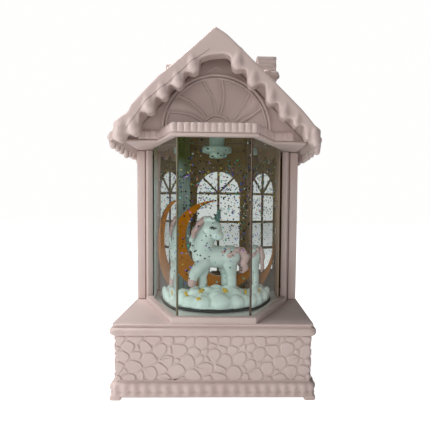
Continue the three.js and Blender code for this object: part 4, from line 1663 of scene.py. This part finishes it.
class LANTERN_OT_glitter(bpy.types.Operator):
    """Scatters foil flakes through the water"""

    bl_idname = "lantern.glitter"
    bl_label = "Glitter"

    def execute(self, context):
        chance = random.Random(77)
        half_width = HEXAGON_SIDE - 5
        deselect_all()
        bpy.ops.mesh.primitive_cylinder_add(vertices=6, radius=sizes().flake_size / 2 * MM, depth=0.00012)
        template = bpy.context.active_object
        weights = [weight for weight, _ in FLAKE_COLOURS]
        tints = [tint for _, tint in FLAKE_COLOURS]
        places = []
        shades = []
        while len(places) < sizes().flakes:
            x = chance.uniform(-half_width, half_width)
            spot = Vector((x, chance.uniform(-56, 56), chance.triangular(72, 200, 158)))
            if abs(spot.x) > half_width - abs(spot.y) / HEXAGON_SLOPE or self.taken(spot):
                continue
            lean = [chance.gauss(math.pi / 2, 0.6), chance.gauss(0, 0.5), chance.gauss(0, 0.6)]
            turn = Euler(lean).to_matrix().to_4x4()
            size = Matrix.Scale(chance.uniform(0.65, 1.2), 4)
            places.append(Matrix.Translation(metres(spot)) @ turn @ size)
            shades.append(chance.choices(tints, weights)[0])

        def fill(shape):
            layer = shape.loops.layers.float_color.new("Flake Colour")
            for matrix, shade in zip(places, shades):
                first_vertex = len(shape.verts)
                first_face = len(shape.faces)
                shape.from_mesh(template.data)
                shape.verts.ensure_lookup_table()
                shape.faces.ensure_lookup_table()
                bmesh.ops.transform(shape, matrix=matrix, verts=shape.verts[first_vertex:])
                for face in shape.faces[first_face:]:
                    for loop in face.loops:
                        loop[layer] = (*shade, 1)

        flakes = object_from("glitter_flakes", fill)
        bpy.data.objects.remove(template)
        dress(flakes, "root", "clear_tank", FINISHES["flakes"])
        return {"FINISHED"}

    def taken(self, spot):
        """Whether a spot lies in the figure, the moon, the cloud or the stopper."""
        off_axis = math.hypot(spot.x, spot.y)
        if (spot.z < 76 and off_axis < 37) or (spot.z > 183 and off_axis < 14):
            return True
        if -27 < spot.x < 29 and -15 < spot.y < 14 and spot.z < 142:
            return spot.z < 112 or spot.x < 9
        return 13 < spot.y < 19 and math.hypot(spot.x + 1, spot.z - 108.5) < 42


class LANTERN_OT_works(bpy.types.Operator):
    """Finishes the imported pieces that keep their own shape"""

    bl_idname = "lantern.works"
    bl_label = "Inner works"

    def execute(self, context):
        for finish, names in NODE_FINISHES.items():
            for name in names:
                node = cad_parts[name]
                for slot in node.material_slots:
                    slot.material = FINISHES[finish]
        return {"FINISHED"}


class LANTERN_OT_stage(bpy.types.Operator):
    """Sets the camera, the floor, the soft lights and the pale surroundings"""

    bl_idname = "lantern.stage"
    bl_label = "Stage"

    def execute(self, context):
        self.set_camera(context.scene)
        self.set_world(context.scene)
        self.lay_floor()
        self.hang_lights()
        context.scene.view_settings.view_transform = "Standard"
        return {"FINISHED"}

    def set_camera(self, scene):
        """A camera a little above the middle, looking slightly down at the front."""
        yaw = math.radians(-1.3605)
        pitch = math.radians(3.208)
        roll = math.radians(0.5556)
        forward = Vector((-math.sin(yaw), math.cos(yaw), 0))
        right = Vector((math.cos(yaw), math.sin(yaw), 0))
        sight = forward * math.cos(pitch) - UP * math.sin(pitch)
        top = forward * math.sin(pitch) + UP * math.cos(pitch)
        rolled_right = right * math.cos(roll) + top * math.sin(roll)
        rolled_top = top * math.cos(roll) - right * math.sin(roll)
        data = bpy.data.cameras.new("Camera")
        data.sensor_width = 36
        data.lens = 32.17
        data.shift_x = -0.0567
        data.shift_y = 0.0317
        data.clip_start = 0.01
        camera = bpy.data.objects.new("Camera", data)
        turn = Matrix((rolled_right, rolled_top, -sight)).transposed()
        camera.matrix_world = Matrix.Translation(metres((11.8, -343.3, 143.2))) @ turn.to_4x4()
        scene.collection.objects.link(camera)
        scene.camera = camera

    def set_world(self, scene):
        """White to look at, and a softer white to be lit by."""
        world = bpy.data.worlds.new("Studio")
        world.use_nodes = True
        tree = world.node_tree
        tree.nodes.clear()
        path = tree.nodes.new("ShaderNodeLightPath")
        lit = ranged(tree, path.outputs["Is Glossy Ray"], 0, 1, 0.11, 0.1)
        through = ranged(tree, path.outputs["Is Transmission Ray"], 0, 1, 0, 0.62)
        indirect = combined(tree, "MAXIMUM", lit, through)
        strength = combined(tree, "MAXIMUM", indirect, path.outputs["Is Camera Ray"])
        glow = add_node(tree, "ShaderNodeBackground", {"Color": (1, 0.995, 0.99, 1), "Strength": strength})
        output = tree.nodes.new("ShaderNodeOutputWorld")
        tree.links.new(glow.outputs[0], output.inputs["Surface"])
        scene.world = world

    def lay_floor(self):
        """A plain pale floor."""
        deselect_all()
        bpy.ops.mesh.primitive_plane_add(size=6, location=(0, 0, 0))
        floor = bpy.context.active_object
        floor.name = "floor"
        material, tree, shader, _ = new_material("pale floor")
        path = tree.nodes.new("ShaderNodeLightPath")
        direct = ranged(tree, path.outputs["Is Camera Ray"], 0, 1, 0.04, 0.95)
        through = ranged(tree, path.outputs["Is Transmission Ray"], 0, 1, 0, 0.34)
        glow = combined(tree, "MAXIMUM", direct, through)
        tree.links.new(glow, shader.inputs["Emission Strength"])
        shader.inputs["Emission Color"].default_value = (1, 1, 1, 1)
        shader.inputs["Base Color"].default_value = (0.93, 0.93, 0.93, 1)
        shader.inputs["Roughness"].default_value = 0.9
        floor.data.materials.append(material)
        deselect_all()

    def hang_lights(self):
        """A broad key from the left, a weak fill from the front and a soft light from above."""
        aim = Vector((0, 0, 0.15))
        for name, direction, distance, size, power in (
            ("window light", (-0.84, -0.5, 0.14), 0.62, 0.4, 1.7),
            ("room light", (0.04, -0.98, 0.05), 0.95, 0.5, 2.2),
            ("top light", (-0.36, 0.0, 0.88), 0.7, 0.3, 4.8),
        ):
            lamp = bpy.data.lights.new(name, "AREA")
            lamp.size = size
            lamp.energy = power
            lamp.color = (1, 0.99, 0.98)
            holder = bpy.data.objects.new(name, lamp)
            holder.visible_transmission = False
            holder.visible_glossy = name != "room light"
            spot = aim + Vector(direction).normalized() * distance
            holder.location = spot
            holder.rotation_euler = (aim - spot).to_track_quat("-Z", "Y").to_euler()
            bpy.context.scene.collection.objects.link(holder)


class LANTERN_PT_sidebar(bpy.types.Panel):
    """Lists the lantern's pieces, sizes and colours"""

    bl_idname = "LANTERN_PT_sidebar"
    bl_label = "Lantern"
    bl_space_type = "VIEW_3D"
    bl_region_type = "UI"
    bl_category = "Lantern"

    def draw(self, context):
        for operator in PIECES:
            self.layout.operator(operator.bl_idname)
        for settings in (context.scene.lantern_sizes, context.scene.lantern_colours):
            box = self.layout.box()
            for key in settings.bl_rna.properties.keys():
                if key not in ("rna_type", "name"):
                    box.prop(settings, key)


PIECES = (
    LANTERN_OT_stage,
    LANTERN_OT_plinth,
    LANTERN_OT_deck,
    LANTERN_OT_walls,
    LANTERN_OT_cornice,
    LANTERN_OT_gable,
    LANTERN_OT_roof,
    LANTERN_OT_chimneys,
    LANTERN_OT_tank,
    LANTERN_OT_unicorn,
    LANTERN_OT_cloud,
    LANTERN_OT_glitter,
    LANTERN_OT_works,
)
CLASSES = (LanternSizes, LanternColours, *PIECES, LANTERN_PT_sidebar)


def register():
    """Adds the classes and the scene's settings."""
    for item in CLASSES:
        bpy.utils.register_class(item)
    bpy.types.Scene.lantern_sizes = PointerProperty(type=LanternSizes)
    bpy.types.Scene.lantern_colours = PointerProperty(type=LanternColours)


def unregister():
    """Takes the settings and the classes away again."""
    del bpy.types.Scene.lantern_colours
    del bpy.types.Scene.lantern_sizes
    for item in reversed(CLASSES):
        bpy.utils.unregister_class(item)


def main():
    """Builds every piece in order."""
    register()
    make_finishes()
    for make in (
        bpy.ops.lantern.stage,
        bpy.ops.lantern.plinth,
        bpy.ops.lantern.deck,
        bpy.ops.lantern.walls,
        bpy.ops.lantern.cornice,
        bpy.ops.lantern.gable,
        bpy.ops.lantern.roof,
        bpy.ops.lantern.chimneys,
        bpy.ops.lantern.tank,
        bpy.ops.lantern.unicorn,
        bpy.ops.lantern.cloud,
        bpy.ops.lantern.glitter,
        bpy.ops.lantern.works,
    ):
        make()


if __name__ == "__main__":
    main()
